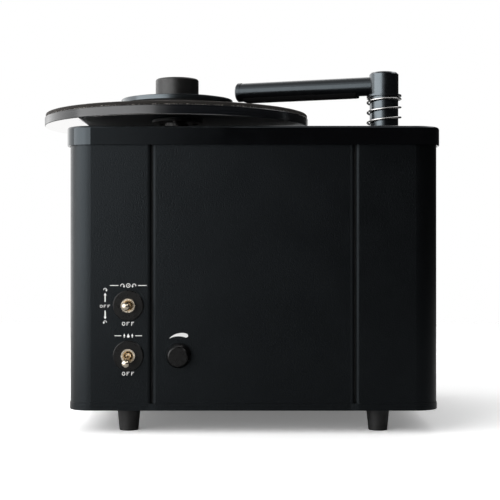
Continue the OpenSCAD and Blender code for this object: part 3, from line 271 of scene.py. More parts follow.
class Finish:
    """A Principled material with grain, wear and bump worked out from the object's own coordinates."""

    def __init__(self, name, colour, roughness, metallic=0.0, sockets=None):
        self.material = bpy.data.materials.new(name)
        self.material.use_nodes = True
        self.tree = self.material.node_tree
        self.shader = self.tree.nodes["Principled BSDF"]
        self.colour = (*colour, 1.0)
        self.normal = None
        fixed = {"Base Color": self.colour, "Roughness": roughness, "Metallic": metallic}
        fixed.update(sockets or {})
        for socket, value in fixed.items():
            self.shader.inputs[socket].default_value = value
        self.place = self.add("ShaderNodeTexCoord").outputs["Object"]

    def add(self, kind, inputs=None, **settings):
        return add_node(self.tree, kind, inputs, **settings)

    def noise(self, size, detail=2.0, place=None):
        """Cloudy values from 0 to 1 whose lumps are about size across."""
        inputs = {"Vector": self.place if place is None else place, "Scale": 1 / size, "Detail": detail}
        return self.add("ShaderNodeTexNoise", inputs).outputs["Fac"]

    def spread(self, value, low, high, start=0.35, end=0.65):
        """value from start..end to low..high."""
        return self.add("ShaderNodeMapRange", {
            "Value": value, "From Min": start, "From Max": end, "To Min": low, "To Max": high,
        }).outputs["Result"]

    def vectors(self, operation, *values):
        return self.add("ShaderNodeVectorMath", dict(enumerate(values)), operation=operation).outputs

    def stretched(self, x, y, z):
        """Coordinates drawn out along an axis where its factor is small."""
        return self.vectors("MULTIPLY", self.place, (x, y, z))[0]

    def turned(self, centre):
        """Coordinates (radius, height) about an upright axis, for the lines that a lathe leaves."""
        apart = self.vectors("SUBTRACT", self.place, (centre.x, centre.y, 0))[0]
        flat = self.vectors("MULTIPLY", apart, (1, 1, 0))[0]
        radius = self.vectors("LENGTH", flat)["Value"]
        height = self.add("ShaderNodeSeparateXYZ", {"Vector": self.place}).outputs["Z"]
        return self.add("ShaderNodeCombineXYZ", {"X": radius, "Y": height}).outputs[0]

    def plus(self, a, b):
        return maths(self.tree, "ADD", a, b)

    def minus(self, a, b):
        return maths(self.tree, "SUBTRACT", a, b)

    def times(self, a, b):
        return maths(self.tree, "MULTIPLY", a, b)

    def past(self, axis, value):
        """1 where the coordinate on that axis is over value, and 0 elsewhere."""
        at = self.add("ShaderNodeSeparateXYZ", {"Vector": self.place}).outputs[axis]
        return maths(self.tree, "GREATER_THAN", at, value)

    def within(self, low_x, high_x, low_y, high_y, over_z):
        """1 over a rectangle and above over_z, and 0 elsewhere."""
        x = self.minus(self.past("X", low_x), self.past("X", high_x))
        y = self.minus(self.past("Y", low_y), self.past("Y", high_y))
        return self.times(self.times(x, y), self.past("Z", over_z))

    def metal(self, share):
        self.tree.links.new(share, self.shader.inputs["Metallic"])
        return self

    def tint(self, share, other):
        """Mixes another colour into the base by share, a socket from 0 to 1."""
        mix = self.add("ShaderNodeMix", data_type="RGBA")
        source = self.shader.inputs["Base Color"]
        self.tree.links.new(share, mix.inputs[0])
        if source.links:
            self.tree.links.new(source.links[0].from_socket, mix.inputs[6])
        else:
            mix.inputs[6].default_value = self.colour
        mix.inputs[7].default_value = (*other, 1.0)
        self.tree.links.new(mix.outputs[2], source)
        return self

    def rough(self, value):
        self.tree.links.new(value, self.shader.inputs["Roughness"])
        return self

    def bump(self, height, depth, strength=1.0):
        inputs = {"Height": height, "Distance": depth, "Strength": strength}
        if self.normal is not None:
            inputs["Normal"] = self.normal
        self.normal = self.add("ShaderNodeBump", inputs).outputs["Normal"]
        self.tree.links.new(self.normal, self.shader.inputs["Normal"])
        return self


def powder_coat():
    """Fine-grained black paint, duller on the folds beside the front's seams."""
    f = Finish("case_paint", (0.0003, 0.0003, 0.0004), 0.30, sockets={
        "Specular IOR Level": 0.22, "Specular Tint": COOL,
    })
    grain = f.noise(1.0 * MM, 2)
    low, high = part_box("front_panel")
    left_fold = f.within(low.x - FOLD, low.x + FOLD, cad_low.y, 0, over_z=0)
    right_fold = f.within(high.x - FOLD, high.x + FOLD, cad_low.y, 0, over_z=0)
    duller = f.times(f.plus(left_fold, right_fold), 0.3)
    f.rough(f.plus(f.spread(f.noise(35 * MM, 3), 0.28, 0.33), duller))
    f.tint(f.spread(grain, 0.0, 0.6), (0.0014, 0.0015, 0.0018))
    f.tint(f.spread(f.noise(60 * MM, 4), 0.0, 0.35), (0.0002, 0.0002, 0.0003))
    f.bump(grain, 0.17 * MM)
    f.bump(f.noise(0.5 * MM, 1), 0.04 * MM)
    return f.material


def lid_gloss():
    """Gloss on the skirt and a dull, fine-textured top."""
    f = Finish("lid_gloss", (0.0014, 0.0014, 0.0017), 0.08, sockets={
        "Specular IOR Level": 0.40, "Specular Tint": COOL,
    })
    top = f.past("Z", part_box("top_lid")[1].z - SKIN)
    f.rough(f.plus(f.spread(f.noise(18 * MM, 5), 0.06, 0.13), f.times(top, 0.6)))
    f.tint(f.spread(f.noise(0.35 * MM, 0), 0.0, 0.08, start=0.74, end=0.82), (0.05, 0.05, 0.05))
    f.bump(f.noise(9 * MM, 1), 0.010 * MM)
    f.bump(f.times(f.noise(0.7 * MM, 1), top), 0.12 * MM)
    return f.material


def soft_rubber():
    f = Finish("soft_rubber", (0.014, 0.014, 0.014), 0.72)
    f.bump(f.noise(0.4 * MM, 2), 0.03 * MM)
    f.tint(f.spread(f.noise(6 * MM, 3), 0.0, 0.4), (0.025, 0.025, 0.025))
    return f.material


def zinc_steel():
    f = Finish("zinc_steel", (0.50, 0.51, 0.53), 0.34, 1.0)
    f.rough(f.spread(f.noise(3 * MM, 4), 0.28, 0.45))
    f.tint(f.spread(f.noise(4 * MM, 3), 0.0, 0.4), (0.38, 0.39, 0.42))
    f.bump(f.noise(0.5 * MM, 2), 0.010 * MM)
    return f.material


def foot_rubber():
    f = Finish("foot_rubber", (0.0035, 0.0035, 0.0038), 0.55)
    f.rough(f.spread(f.noise(5 * MM, 3), 0.46, 0.66))
    f.tint(f.spread(f.noise(7 * MM, 4), 0.0, 0.5), (0.0075, 0.0072, 0.0072))
    f.bump(f.noise(0.35 * MM, 2), 0.03 * MM)
    return f.material


def platter_metal():
    """Black anodised rim with fine turning lines; the underside is left bright and polished."""
    f = Finish("platter_metal", (0.0030, 0.0034, 0.0042), 0.20, sockets={"Specular IOR Level": 0.40})
    rim = f.past("Z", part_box("platter")[0].z + SKIN)
    under = f.minus(1.0, rim)
    lines = f.times(f.noise(0.9 * MM, 3, f.turned(centre_of("platter"))), rim)
    rim_rough = f.times(f.spread(lines, 0.13, 0.27), rim)
    under_rough = f.times(f.spread(f.noise(30 * MM, 3), 0.03, 0.06), under)
    f.rough(f.plus(rim_rough, under_rough))
    f.tint(f.spread(lines, 0.0, 0.6), (0.010, 0.011, 0.0135))
    f.tint(under, (0.88, 0.87, 0.86))
    f.metal(under)
    f.bump(lines, 0.02 * MM)
    return f.material


def mat_fibre():
    f = Finish("platter_mat", (0.0085, 0.0075, 0.0070), 0.95, sockets={
        "Sheen Weight": 0.22, "Sheen Roughness": 0.5, "Sheen Tint": (0.75, 0.70, 0.66, 1),
        "Specular IOR Level": 0.25,
    })
    f.tint(f.spread(f.noise(0.5 * MM, 3), 0.0, 0.8), (0.022, 0.019, 0.017))
    f.tint(f.spread(f.noise(14 * MM, 3), 0.0, 0.4), (0.0055, 0.0050, 0.0046))
    f.bump(f.noise(0.6 * MM, 3), 0.25 * MM)
    return f.material


# Pale colour of the specks: partly real lint, partly a painted highlight of the platter rim's top edge
def lint_and_rim_highlight():
    f = Finish("lint_and_rim_highlight", (0.46, 0.43, 0.39), 0.9)
    f.tint(f.spread(f.noise(3 * MM, 2), 0.0, 0.8), (0.20, 0.18, 0.16))
    f.bump(f.noise(0.1 * MM, 2), 0.05 * MM)
    return f.material


def turned_metal():
    f = Finish("turned_metal", (0.62, 0.63, 0.65), 0.26, 1.0)
    lines = f.noise(0.4 * MM, 2, f.turned(centre_of("platter_hub")))
    f.rough(f.spread(lines, 0.20, 0.34))
    f.tint(f.spread(lines, 0.0, 0.4), (0.50, 0.51, 0.53))
    f.bump(lines, 0.012 * MM)
    return f.material


def polished_steel():
    f = Finish("polished_steel", (0.52, 0.51, 0.50), 0.20, 1.0)
    f.rough(f.spread(f.noise(2.5 * MM, 4), 0.14, 0.28))
    f.tint(f.spread(f.noise(5 * MM, 4), 0.0, 0.35), (0.36, 0.355, 0.35))
    f.bump(f.noise(0.7 * MM, 2), 0.006 * MM)
    return f.material


def black_metal():
    f = Finish("black_metal", (0.0024, 0.0024, 0.0028), 0.32, sockets={"Specular IOR Level": 0.5})
    f.rough(f.spread(f.noise(4 * MM, 3), 0.26, 0.40))
    f.tint(f.spread(f.noise(8 * MM, 3), 0.0, 0.4), (0.0046, 0.0046, 0.0052))
    f.bump(f.noise(0.6 * MM, 2), 0.015 * MM)
    return f.material


def satin_black():
    """Black oxide on the screws and on the flange under the platter."""
    f = Finish("satin_black", (0.0020, 0.0020, 0.0023), 0.50, sockets={"Specular IOR Level": 0.25})
    f.rough(f.spread(f.noise(2 * MM, 3), 0.44, 0.58))
    f.tint(f.spread(f.noise(3 * MM, 3), 0.0, 0.4), (0.0042, 0.0042, 0.0046))
    f.bump(f.noise(0.5 * MM, 2), 0.015 * MM)
    return f.material


def bronze():
    f = Finish("bronze", (0.52, 0.36, 0.17), 0.38, 1.0)
    f.rough(f.spread(f.noise(1.5 * MM, 4), 0.30, 0.50))
    f.tint(f.spread(f.noise(3 * MM, 4), 0.0, 0.6), (0.36, 0.24, 0.12))
    f.bump(f.noise(0.4 * MM, 3), 0.02 * MM)
    return f.material


def gear_plastic():
    f = Finish("gear_plastic", (0.62, 0.58, 0.47), 0.45, sockets={
        "Subsurface Weight": 0.1, "Subsurface Scale": 1.0 * MM,
    })
    f.rough(f.spread(f.noise(4 * MM, 3), 0.38, 0.52))
    f.tint(f.spread(f.noise(9 * MM, 3), 0.0, 0.4), (0.54, 0.49, 0.37))
    f.bump(f.noise(0.8 * MM, 2), 0.015 * MM)
    return f.material


def cast_metal():
    f = Finish("cast_metal", (0.32, 0.33, 0.35), 0.52, 1.0)
    f.rough(f.spread(f.noise(3 * MM, 4), 0.45, 0.62))
    f.tint(f.spread(f.noise(1.2 * MM, 3), 0.0, 0.5), (0.24, 0.245, 0.26))
    f.bump(f.noise(0.9 * MM, 3), 0.06 * MM)
    return f.material


def motor_metal():
    f = Finish("motor_metal", (0.44, 0.45, 0.47), 0.36, 1.0)
    f.rough(f.spread(f.noise(3 * MM, 3, f.stretched(1, 1, 0.1)), 0.28, 0.46))
    f.tint(f.spread(f.noise(12 * MM, 4), 0.0, 0.4), (0.34, 0.35, 0.36))
    f.bump(f.noise(0.6 * MM, 2, f.stretched(1, 1, 0.1)), 0.02 * MM)
    return f.material


def clamp_metal():
    f = Finish("clamp_metal", (0.0050, 0.0054, 0.0060), 0.26, sockets={
        "Specular IOR Level": 0.75, "Specular Tint": COOL,
    })
    lines = f.noise(0.5 * MM, 3, f.turned(centre_of("clamp_disc")))
    f.rough(f.spread(lines, 0.20, 0.32))
    f.tint(f.spread(lines, 0.0, 0.5), (0.010, 0.011, 0.012))
    f.bump(lines, 0.02 * MM)
    return f.material


def knob_plastic():
    f = Finish("knob_plastic", (0.0016, 0.0016, 0.0016), 0.30, sockets={"Specular IOR Level": 0.24})
    f.rough(f.spread(f.noise(3 * MM, 3), 0.26, 0.35))
    f.tint(f.spread(f.noise(0.7 * MM, 2), 0.0, 0.5), (0.0034, 0.0032, 0.0032))
    f.bump(f.noise(0.5 * MM, 2), 0.03 * MM)
    return f.material


def turned_plastic():
    """The clamp's knob: the same plastic with a dull, lathe-turned side."""
    f = Finish("clamp_knob", (0.0040, 0.0039, 0.0038), 0.40, sockets={"Specular IOR Level": 0.34})
    lines = f.noise(0.5 * MM, 3, f.turned(centre_of("clamp_knob")))
    f.rough(f.spread(f.noise(3 * MM, 3), 0.35, 0.45))
    f.tint(f.spread(f.noise(0.7 * MM, 2), 0.0, 0.6), (0.0085, 0.0082, 0.0080))
    f.bump(lines, 0.02 * MM)
    f.bump(f.noise(0.5 * MM, 2), 0.04 * MM)
    return f.material


def arm_metal(name="arm_metal", gloss=0.85):
    """Smooth black coat, as bright on the post as gloss says and duller on the tube."""
    f = Finish(name, (0.0022, 0.0023, 0.0027), 0.22, sockets={
        "Specular IOR Level": gloss, "Specular Tint": COOL,
    })
    f.rough(f.spread(f.noise(6 * MM, 3), 0.19, 0.26))
    f.tint(f.spread(f.noise(10 * MM, 4), 0.0, 0.4), (0.0040, 0.0041, 0.0048))
    f.bump(f.noise(0.5 * MM, 2), 0.004 * MM)
    return f.material


def velvet():
    f = Finish("velvet", (0.0008, 0.0008, 0.0009), 0.95, sockets={
        "Sheen Weight": 0.03, "Sheen Roughness": 0.35, "Sheen Tint": (0.6, 0.6, 0.62, 1),
        "Specular IOR Level": 0.06,
    })
    f.tint(f.spread(f.noise(0.3 * MM, 2), 0.0, 0.6), (0.0024, 0.0024, 0.0026))
    f.bump(f.noise(0.25 * MM, 2), 0.12 * MM)
    return f.material


def moulded(name, colour, darker, roughness=0.42, grain=0.5 * MM):
    f = Finish(name, colour, roughness)
    f.rough(f.spread(f.noise(8 * MM, 3), roughness - 0.06, roughness + 0.08))
    f.tint(f.spread(f.noise(15 * MM, 3), 0.0, 0.4), darker)
    f.bump(f.noise(grain, 2), 0.02 * MM)
    return f.material


def hose_rubber():
    f = Finish("hose_rubber", (0.022, 0.022, 0.024), 0.55)
    f.rough(f.spread(f.noise(5 * MM, 3), 0.46, 0.64))
    f.tint(f.spread(f.noise(7 * MM, 3), 0.0, 0.5), (0.036, 0.036, 0.038))
    f.bump(f.noise(0.4 * MM, 2), 0.02 * MM)
    return f.material


def tap_brass():
    f = Finish("tap_brass", (0.58, 0.42, 0.19), 0.26, 1.0)
    f.rough(f.spread(f.noise(2 * MM, 4), 0.20, 0.38))
    f.tint(f.spread(f.noise(4 * MM, 4), 0.0, 0.5), (0.42, 0.29, 0.13))
    f.bump(f.noise(0.5 * MM, 2), 0.010 * MM)
    return f.material


BOARD_T = 1.6 * MM
WINDING_RISE = 6 * MM

# Parts on the control board, in millimetres from its corner: left, right, front and back
BOARD_CORE = (8, 56, 42, 84)
BOARD_WINDING = (18, 46, 42, 84)
BOARD_RELAYS = (60, 84, 50, 87)
BOARD_CAN = (63, 81, 17, 35)


def circuit_board():
    """Green board with tracks; the transformer, relays and capacitor on it by their places."""
    f = Finish("board", (0.012, 0.085, 0.040), 0.35)
    f.rough(f.spread(f.noise(3 * MM, 3), 0.28, 0.46))
    f.tint(f.spread(f.noise(2.2 * MM, 2), 0.0, 0.8, start=0.55, end=0.58), (0.030, 0.150, 0.075))
    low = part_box("control_board")[0]
    top = low.z + BOARD_T + SKIN

    def over(area, z):
        left, right, front, back = (v * MM for v in area)
        return f.within(low.x + left, low.x + right, low.y + front, low.y + back, z)

    f.tint(over(BOARD_CORE, top), (0.20, 0.20, 0.21))
    f.tint(over(BOARD_WINDING, top + WINDING_RISE), (0.46, 0.20, 0.07))
    f.tint(over(BOARD_RELAYS, top), (0.020, 0.055, 0.170))
    f.tint(over(BOARD_CAN, top), (0.015, 0.015, 0.020))
    f.bump(f.noise(2.2 * MM, 2), 0.03 * MM)
    return f.material


def nickel():
    """Nickel plate on what shows in front, and dark moulding on the bodies behind the sheet."""
    f = Finish("nickel", (0.72, 0.64, 0.52), 0.22, 1.0)
    behind = f.past("Y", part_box("front_panel")[0].y + SHEET_T + 3 * SKIN)
    f.rough(f.plus(f.spread(f.noise(1.2 * MM, 4), 0.15, 0.30), f.times(behind, 0.3)))
    f.tint(f.spread(f.noise(1.6 * MM, 4), 0.0, 0.5), (0.50, 0.43, 0.34))
    f.tint(behind, (0.035, 0.016, 0.012))
    f.metal(f.minus(1.0, behind))
    f.bump(f.noise(0.4 * MM, 2), 0.012 * MM)
    return f.material


def printed_white():
    f = Finish("printed_white", (0.80, 0.80, 0.79), 0.55)
    f.tint(f.spread(f.noise(0.8 * MM, 3), 0.0, 0.35), (0.62, 0.62, 0.61))
    f.bump(f.noise(0.3 * MM, 2), 0.01 * MM)
    return f.material


FINISHES = {
    "case_paint": powder_coat(),
    "lid_gloss": lid_gloss(),
    "soft_rubber": soft_rubber(),
    "zinc_steel": zinc_steel(),
    "foot_rubber": foot_rubber(),
    "platter_metal": platter_metal(),
    "platter_mat": mat_fibre(),
    "turned_metal": turned_metal(),
    "polished_steel": polished_steel(),
    "black_metal": black_metal(),
    "bronze": bronze(),
    "gear_plastic": gear_plastic(),
    "cast_metal": cast_metal(),
    "motor_metal": motor_metal(),
    "clamp_metal": clamp_metal(),
    "knob_plastic": knob_plastic(),
    "arm_metal": arm_metal(),
    "velvet": velvet(),
    "white_plastic": moulded("white_plastic", (0.66, 0.67, 0.63), (0.55, 0.56, 0.50)),
    "hose_rubber": hose_rubber(),
    "float_plastic": moulded("float_plastic", (0.70, 0.26, 0.05), (0.55, 0.18, 0.03)),
    "tap_brass": tap_brass(),
    "lever_plastic": moulded("lever_plastic", (0.42, 0.025, 0.018), (0.28, 0.015, 0.012), 0.28),
    "board": circuit_board(),
    "nickel": nickel(),
}

# Nodes whose finish differs from the rest of their slot
tube_coat = arm_metal("arm_tube_coat", gloss=0.35)
dull_black = satin_black()
OWN_FINISHES = {
    "clamp_knob": turned_plastic(), "arm_tube": tube_coat, "arm_end_cap": tube_coat,
    "case_screws": dull_black, "bearing_housing": dull_black,
}

for part in frame["record"]["subparts"]:
    node = nodes[part["node"]]
    node.data.materials.clear()
    node.data.materials.append(OWN_FINISHES.get(part["node"], FINISHES[part["material_slot"]]))


# Pieces
def piece(name, points, faces, material, body, smooth=True):
    """A closed mesh with one material, which rides on a body."""
    mesh = bpy.data.meshes.new(name)
    mesh.from_pydata(points, [], faces)
    shape = bmesh.new()
    shape.from_mesh(mesh)
    bmesh.ops.recalc_face_normals(shape, faces=shape.faces)
    shape.to_mesh(mesh)
    shape.free()
    for face in mesh.polygons:
        face.use_smooth = smooth
    mesh.materials.append(material)
    made = bpy.data.objects.new(name, mesh)
    bpy.context.scene.collection.objects.link(made)
    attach(made, body)
    return made


def around(middle, angle, radius, z):
    """The point at that angle, radius and height about an upright axis through middle."""
    return Vector((middle.x + radius * math.cos(angle), middle.y + radius * math.sin(angle), z))


def rings_to_faces(rings, sides, closed=False):
    """Faces of a tube whose points come ring after ring, capped at both ends unless it is closed."""
    faces = []
    for i in range(rings if closed else rings - 1):
        here, there = i * sides, (i + 1) % rings * sides
        for k in range(sides):
            n = (k + 1) % sides
            faces.append((here + k, here + n, there + n, there + k))
    if not closed:
        faces.append(tuple(range(sides)))
        faces.append(tuple((rings - 1) * sides + k for k in reversed(range(sides))))
    return faces


# Spring: the same wire as the CAD's, with round turns
SPRING_R = 14.85 * MM
WIRE_R = 0.9 * MM
END_TURNS = 0.75
END_PITCH = 2.4 * MM
OPEN_PITCH = 9 * MM
SPRING_START = 98
SPRING_STEPS = 40
WIRE_SIDES = 14
SMALL_TURN = 0.002


def make_spring():
    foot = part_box("spring_washer")[1].z
    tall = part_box("spring_collar")[0].z - foot
    middle = centre_of("arm_post")
    open_turns = (tall - 2 * WIRE_R - 2 * END_TURNS * END_PITCH) / OPEN_PITCH
    turns = open_turns + 2 * END_TURNS

    def rise(t):
        loose = min(max(t - END_TURNS, 0), open_turns)
        return END_PITCH * (t - loose) + OPEN_PITCH * loose

    def point(t):
        return around(middle, math.radians(SPRING_START) + math.tau * t, SPRING_R, foot + WIRE_R + rise(t))

    rings = math.ceil(turns * SPRING_STEPS) + 1
    points = []
    for i in range(rings):
        t = turns * i / (rings - 1)
        here = point(t)
        along = (point(t + SMALL_TURN) - point(t - SMALL_TURN)).normalized()
        out = Vector((here.x - middle.x, here.y - middle.y, 0)).normalized()
        up = along.cross(out).normalized()
        for k in range(WIRE_SIDES):
            b = math.tau * k / WIRE_SIDES
            points.append(here + WIRE_R * (math.cos(b) * out + math.sin(b) * up))
    spring = piece("spring_wire", points, rings_to_faces(rings, WIRE_SIDES), FINISHES["polished_steel"],
                   "swing")
    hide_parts("arm_spring")
    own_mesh(spring)


# Mat: a disc of short fibre with a soft round edge, a little uneven, and pale lint caught at its foot; the
# pale ring also paints the highlight on the platter rim's top edge.
MAT_HOLE = 6 * MM
MAT_EDGE = 1.1 * MM
MAT_SIDES = 300
MAT_RINGS = (20, 40, 55, 70, 85, 100, 110, 116)
MAT_RAGGED = (-0.10, 0.04)

# Waves of the mat, each with a height, a number of crests and a start
MAT_WAVES = ((0.10, 5, 0.7), (0.06, 17, 0))

# Points of the mat's lower edge: how far inwards and how high
MAT_FOOT = ((0.25, 0.3), (0.6, 0.0))

# Crumbs and hairs of pale lint, which also paint the rim edge's highlight: how many, and their sizes in
# millimetres
LINT_AND_HIGHLIGHT_SPECKS = 420
SPECK_LONG = (0.22, 0.65)
SPECK_WIDE = (0.12, 0.28)
SPECK_OUT = (-0.10, 0.15)
SPECK_RISE = (0.15, 0.55)
LINT_AND_HIGHLIGHT_HAIRS = 110
HAIR_LONG = (1.2, 4.0)
HAIR_THIN = (0.04, 0.07)
HAIR_LIFT = (0.1, 0.9)
HAIR_OUT = 0.08
HAIR_BEND = 0.25
HAIR_FOOT = 0.15
HAIR_POINTS = 5
HAIR_SIDES = 3


def mat_profile(radius, thick):
    """(radius, height) points from the hole over the top and the round edge to the foot."""
    flat = [(r * MM, thick) for r in MAT_RINGS]
    corner = [math.radians(a) for a in range(0, 91, 15)]
    r, z = radius - MAT_EDGE, thick - MAT_EDGE
    edge = [(r + MAT_EDGE * math.sin(a), z + MAT_EDGE * math.cos(a)) for a in corner]
    foot = [(radius, thick * 0.4)] + [(radius - inwards * MM, up * MM) for inwards, up in MAT_FOOT]
    return [(MAT_HOLE, 0), (MAT_HOLE, thick)] + flat + edge + foot


def make_mat():
    low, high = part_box("platter_mat")
    middle, radius = centre_of("platter_mat"), (high.x - low.x) / 2
    thick = high.z - low.z
    profile = mat_profile(radius, thick)
    points = []
    for i in range(MAT_SIDES):
        a = math.tau * i / MAT_SIDES
        wave = sum(size * MM * math.sin(count * a + start) for size, count, start in MAT_WAVES)
        for r, z in profile:
            outer = r > radius - 2 * MAT_EDGE
            ragged = random.uniform(*MAT_RAGGED) * MM if outer and z > 0 else 0
            lift = wave * 0.5 if z > 0.5 * thick else 0
            points.append(around(middle, a, r + ragged, low.z + z + min(lift, 0) + min(ragged, 0)))
    faces = rings_to_faces(MAT_SIDES, len(profile), closed=True)
    mat = piece("felt_mat", points, faces, FINISHES["platter_mat"], "platter")
    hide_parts("platter_mat")
    make_lint_and_rim_highlight(middle, radius, low.z)


# Pale specks and hairs round the mat's foot: real lint, and a painted highlight of the platter rim's top
# edge
def make_lint_and_rim_highlight(middle, radius, foot):
    points, faces = [], []
    for _ in range(LINT_AND_HIGHLIGHT_SPECKS):
        add_speck(points, faces, middle, radius, foot)
    for _ in range(LINT_AND_HIGHLIGHT_HAIRS):
        add_hair(points, faces, middle, radius, foot)
    piece("mat_lint_and_rim_highlight", points, faces, lint_and_rim_highlight(), "platter", smooth=False)


def add_speck(points, faces, middle, radius, foot):
    """A crumb with eight faces."""
    a = random.uniform(0, math.tau)
    long, wide = random.uniform(*SPECK_LONG) * MM, random.uniform(*SPECK_WIDE) * MM
    r = radius + random.uniform(*SPECK_OUT) * MM
    at = around(middle, a, r, foot + random.uniform(*SPECK_RISE) * MM)
    side = Vector((-math.sin(a), math.cos(a), 0))
    out = Vector((math.cos(a), math.sin(a), 0))
    up = Vector((0, 0, 1))
    first = len(points)
    for way in (long * side, wide * out, wide * up):
        points.extend((at + way, at - way))
    belt = (0, 2, 1, 3)
    for here, there in zip(belt, belt[1:] + belt[:1]):
        faces.append((first + here, first + there, first + 4))
        faces.append((first + there, first + here, first + 5))


def add_hair(points, faces, middle, radius, foot):
    """A thin hair that leans against the edge, lifts in its middle and tapers to its end."""
    a, turn = random.uniform(0, math.tau), random.uniform(-1, 1)
    long, thin = random.uniform(*HAIR_LONG) * MM, random.uniform(*HAIR_THIN) * MM
    lift = random.uniform(*HAIR_LIFT) * MM
    first = len(points)
    for i in range(HAIR_POINTS):
        t = i / (HAIR_POINTS - 1)
        r = radius + (HAIR_OUT + HAIR_BEND * turn * t * t) * MM
        at = around(middle, a + long * t / radius, r, foot + HAIR_FOOT * MM + lift * math.sin(math.pi * t))
        for k in range(HAIR_SIDES):
            b = math.tau * k / HAIR_SIDES
            out = Vector((math.cos(a) * math.cos(b), math.sin(a) * math.cos(b), math.sin(b)))
            points.append(at + thin * (1.02 - t) * out)
    faces.extend(tuple(first + p for p in face) for face in rings_to_faces(HAIR_POINTS, HAIR_SIDES))


# Velvet: two soft strips under the arm, one on each side of its slot
STRIP_INNER = 1.6 * MM
STRIP_OUTER = 6.0 * MM
STRIP_CORNER = 0.8 * MM
STRIP_STEP = 0.8 * MM
STRIP_END = 1.2 * MM
STRIP_END_RISE = 0.72 * MM
STRIP_PILE = 0.10 * MM
STRIP_UNDER = 0.98
TUBE_GAP = 0.03 * MM


def strip_section(tube_r, bottom):
    """(y, z) outline of one strip: the tube's curve above and a flat underside with round corners."""
    inner, outer, corner = STRIP_INNER, STRIP_OUTER, STRIP_CORNER
    top = [inner + (outer - inner) * i / 5 for i in range(6)]
    bow = [math.radians(a) for a in range(0, 91, 30)]
    section = [(y, -math.sqrt(tube_r ** 2 - y ** 2)) for y in top]
    for a in bow:
        section.append((outer - corner + corner * math.cos(a), bottom + corner - corner * math.sin(a)))
    for a in bow:
        section.append((inner + corner - corner * math.sin(a), bottom + corner - corner * math.cos(a)))
    return section


def make_strips():
    low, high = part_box("arm_pads")
    tube_low, tube_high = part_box("arm_tube")
    tube_r = (tube_high.z - tube_low.z) / 2 + TUBE_GAP
    axis_z = (tube_high.z + tube_low.z) / 2
    way = centre_of("arm_end_cap") - centre_of("arm_post")
    way = Vector((way.x, way.y, 0)).normalized()
    side = Vector((-way.y, way.x, 0))
    length = (high.x - low.x - 2 * STRIP_OUTER * abs(side.x)) / abs(way.x)
    middle = (low + high) / 2
    bottom = low.z - axis_z
    section = strip_section(tube_r, bottom)
    rings = round(length / STRIP_STEP)
    for name, hand in (("velvet_front", 1), ("velvet_back", -1)):
        points = []
        for i in range(rings):
            t = i / (rings - 1)
            from_end = min(t, 1 - t) * length
            rise = STRIP_END_RISE * max(0, 1 - from_end / STRIP_END)
            for y, z in section:
                pile = random.uniform(0, 1) * STRIP_PILE if z < -tube_r * STRIP_UNDER else 0
                up = Vector((0, 0, axis_z - middle.z + max(z, bottom + rise) + pile))
                points.append(middle + (t - 0.5) * length * way + hand * y * side + up)
        faces = rings_to_faces(rings, len(section))
        strip = piece(name, points, faces, FINISHES["velvet"], "arm")
        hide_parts("arm_pads")


# Print on the front: flat strokes of white ink, in millimetres from the middle of their control
PRINT_T = 0.03 * MM
PRINT_SUNK = 0.01 * MM
NO_LENGTH = 1e-6
MITRE_LIMIT = 0.5
TURN_HEAD_HALF = 1.0
TURN_HEAD_BACK = 0.2
TURN_HEAD_LONG = 1.5
ARROW_HEAD_LONG = 2.2
LETTER_GAP = 0.40
LETTER_BEND = 0.9


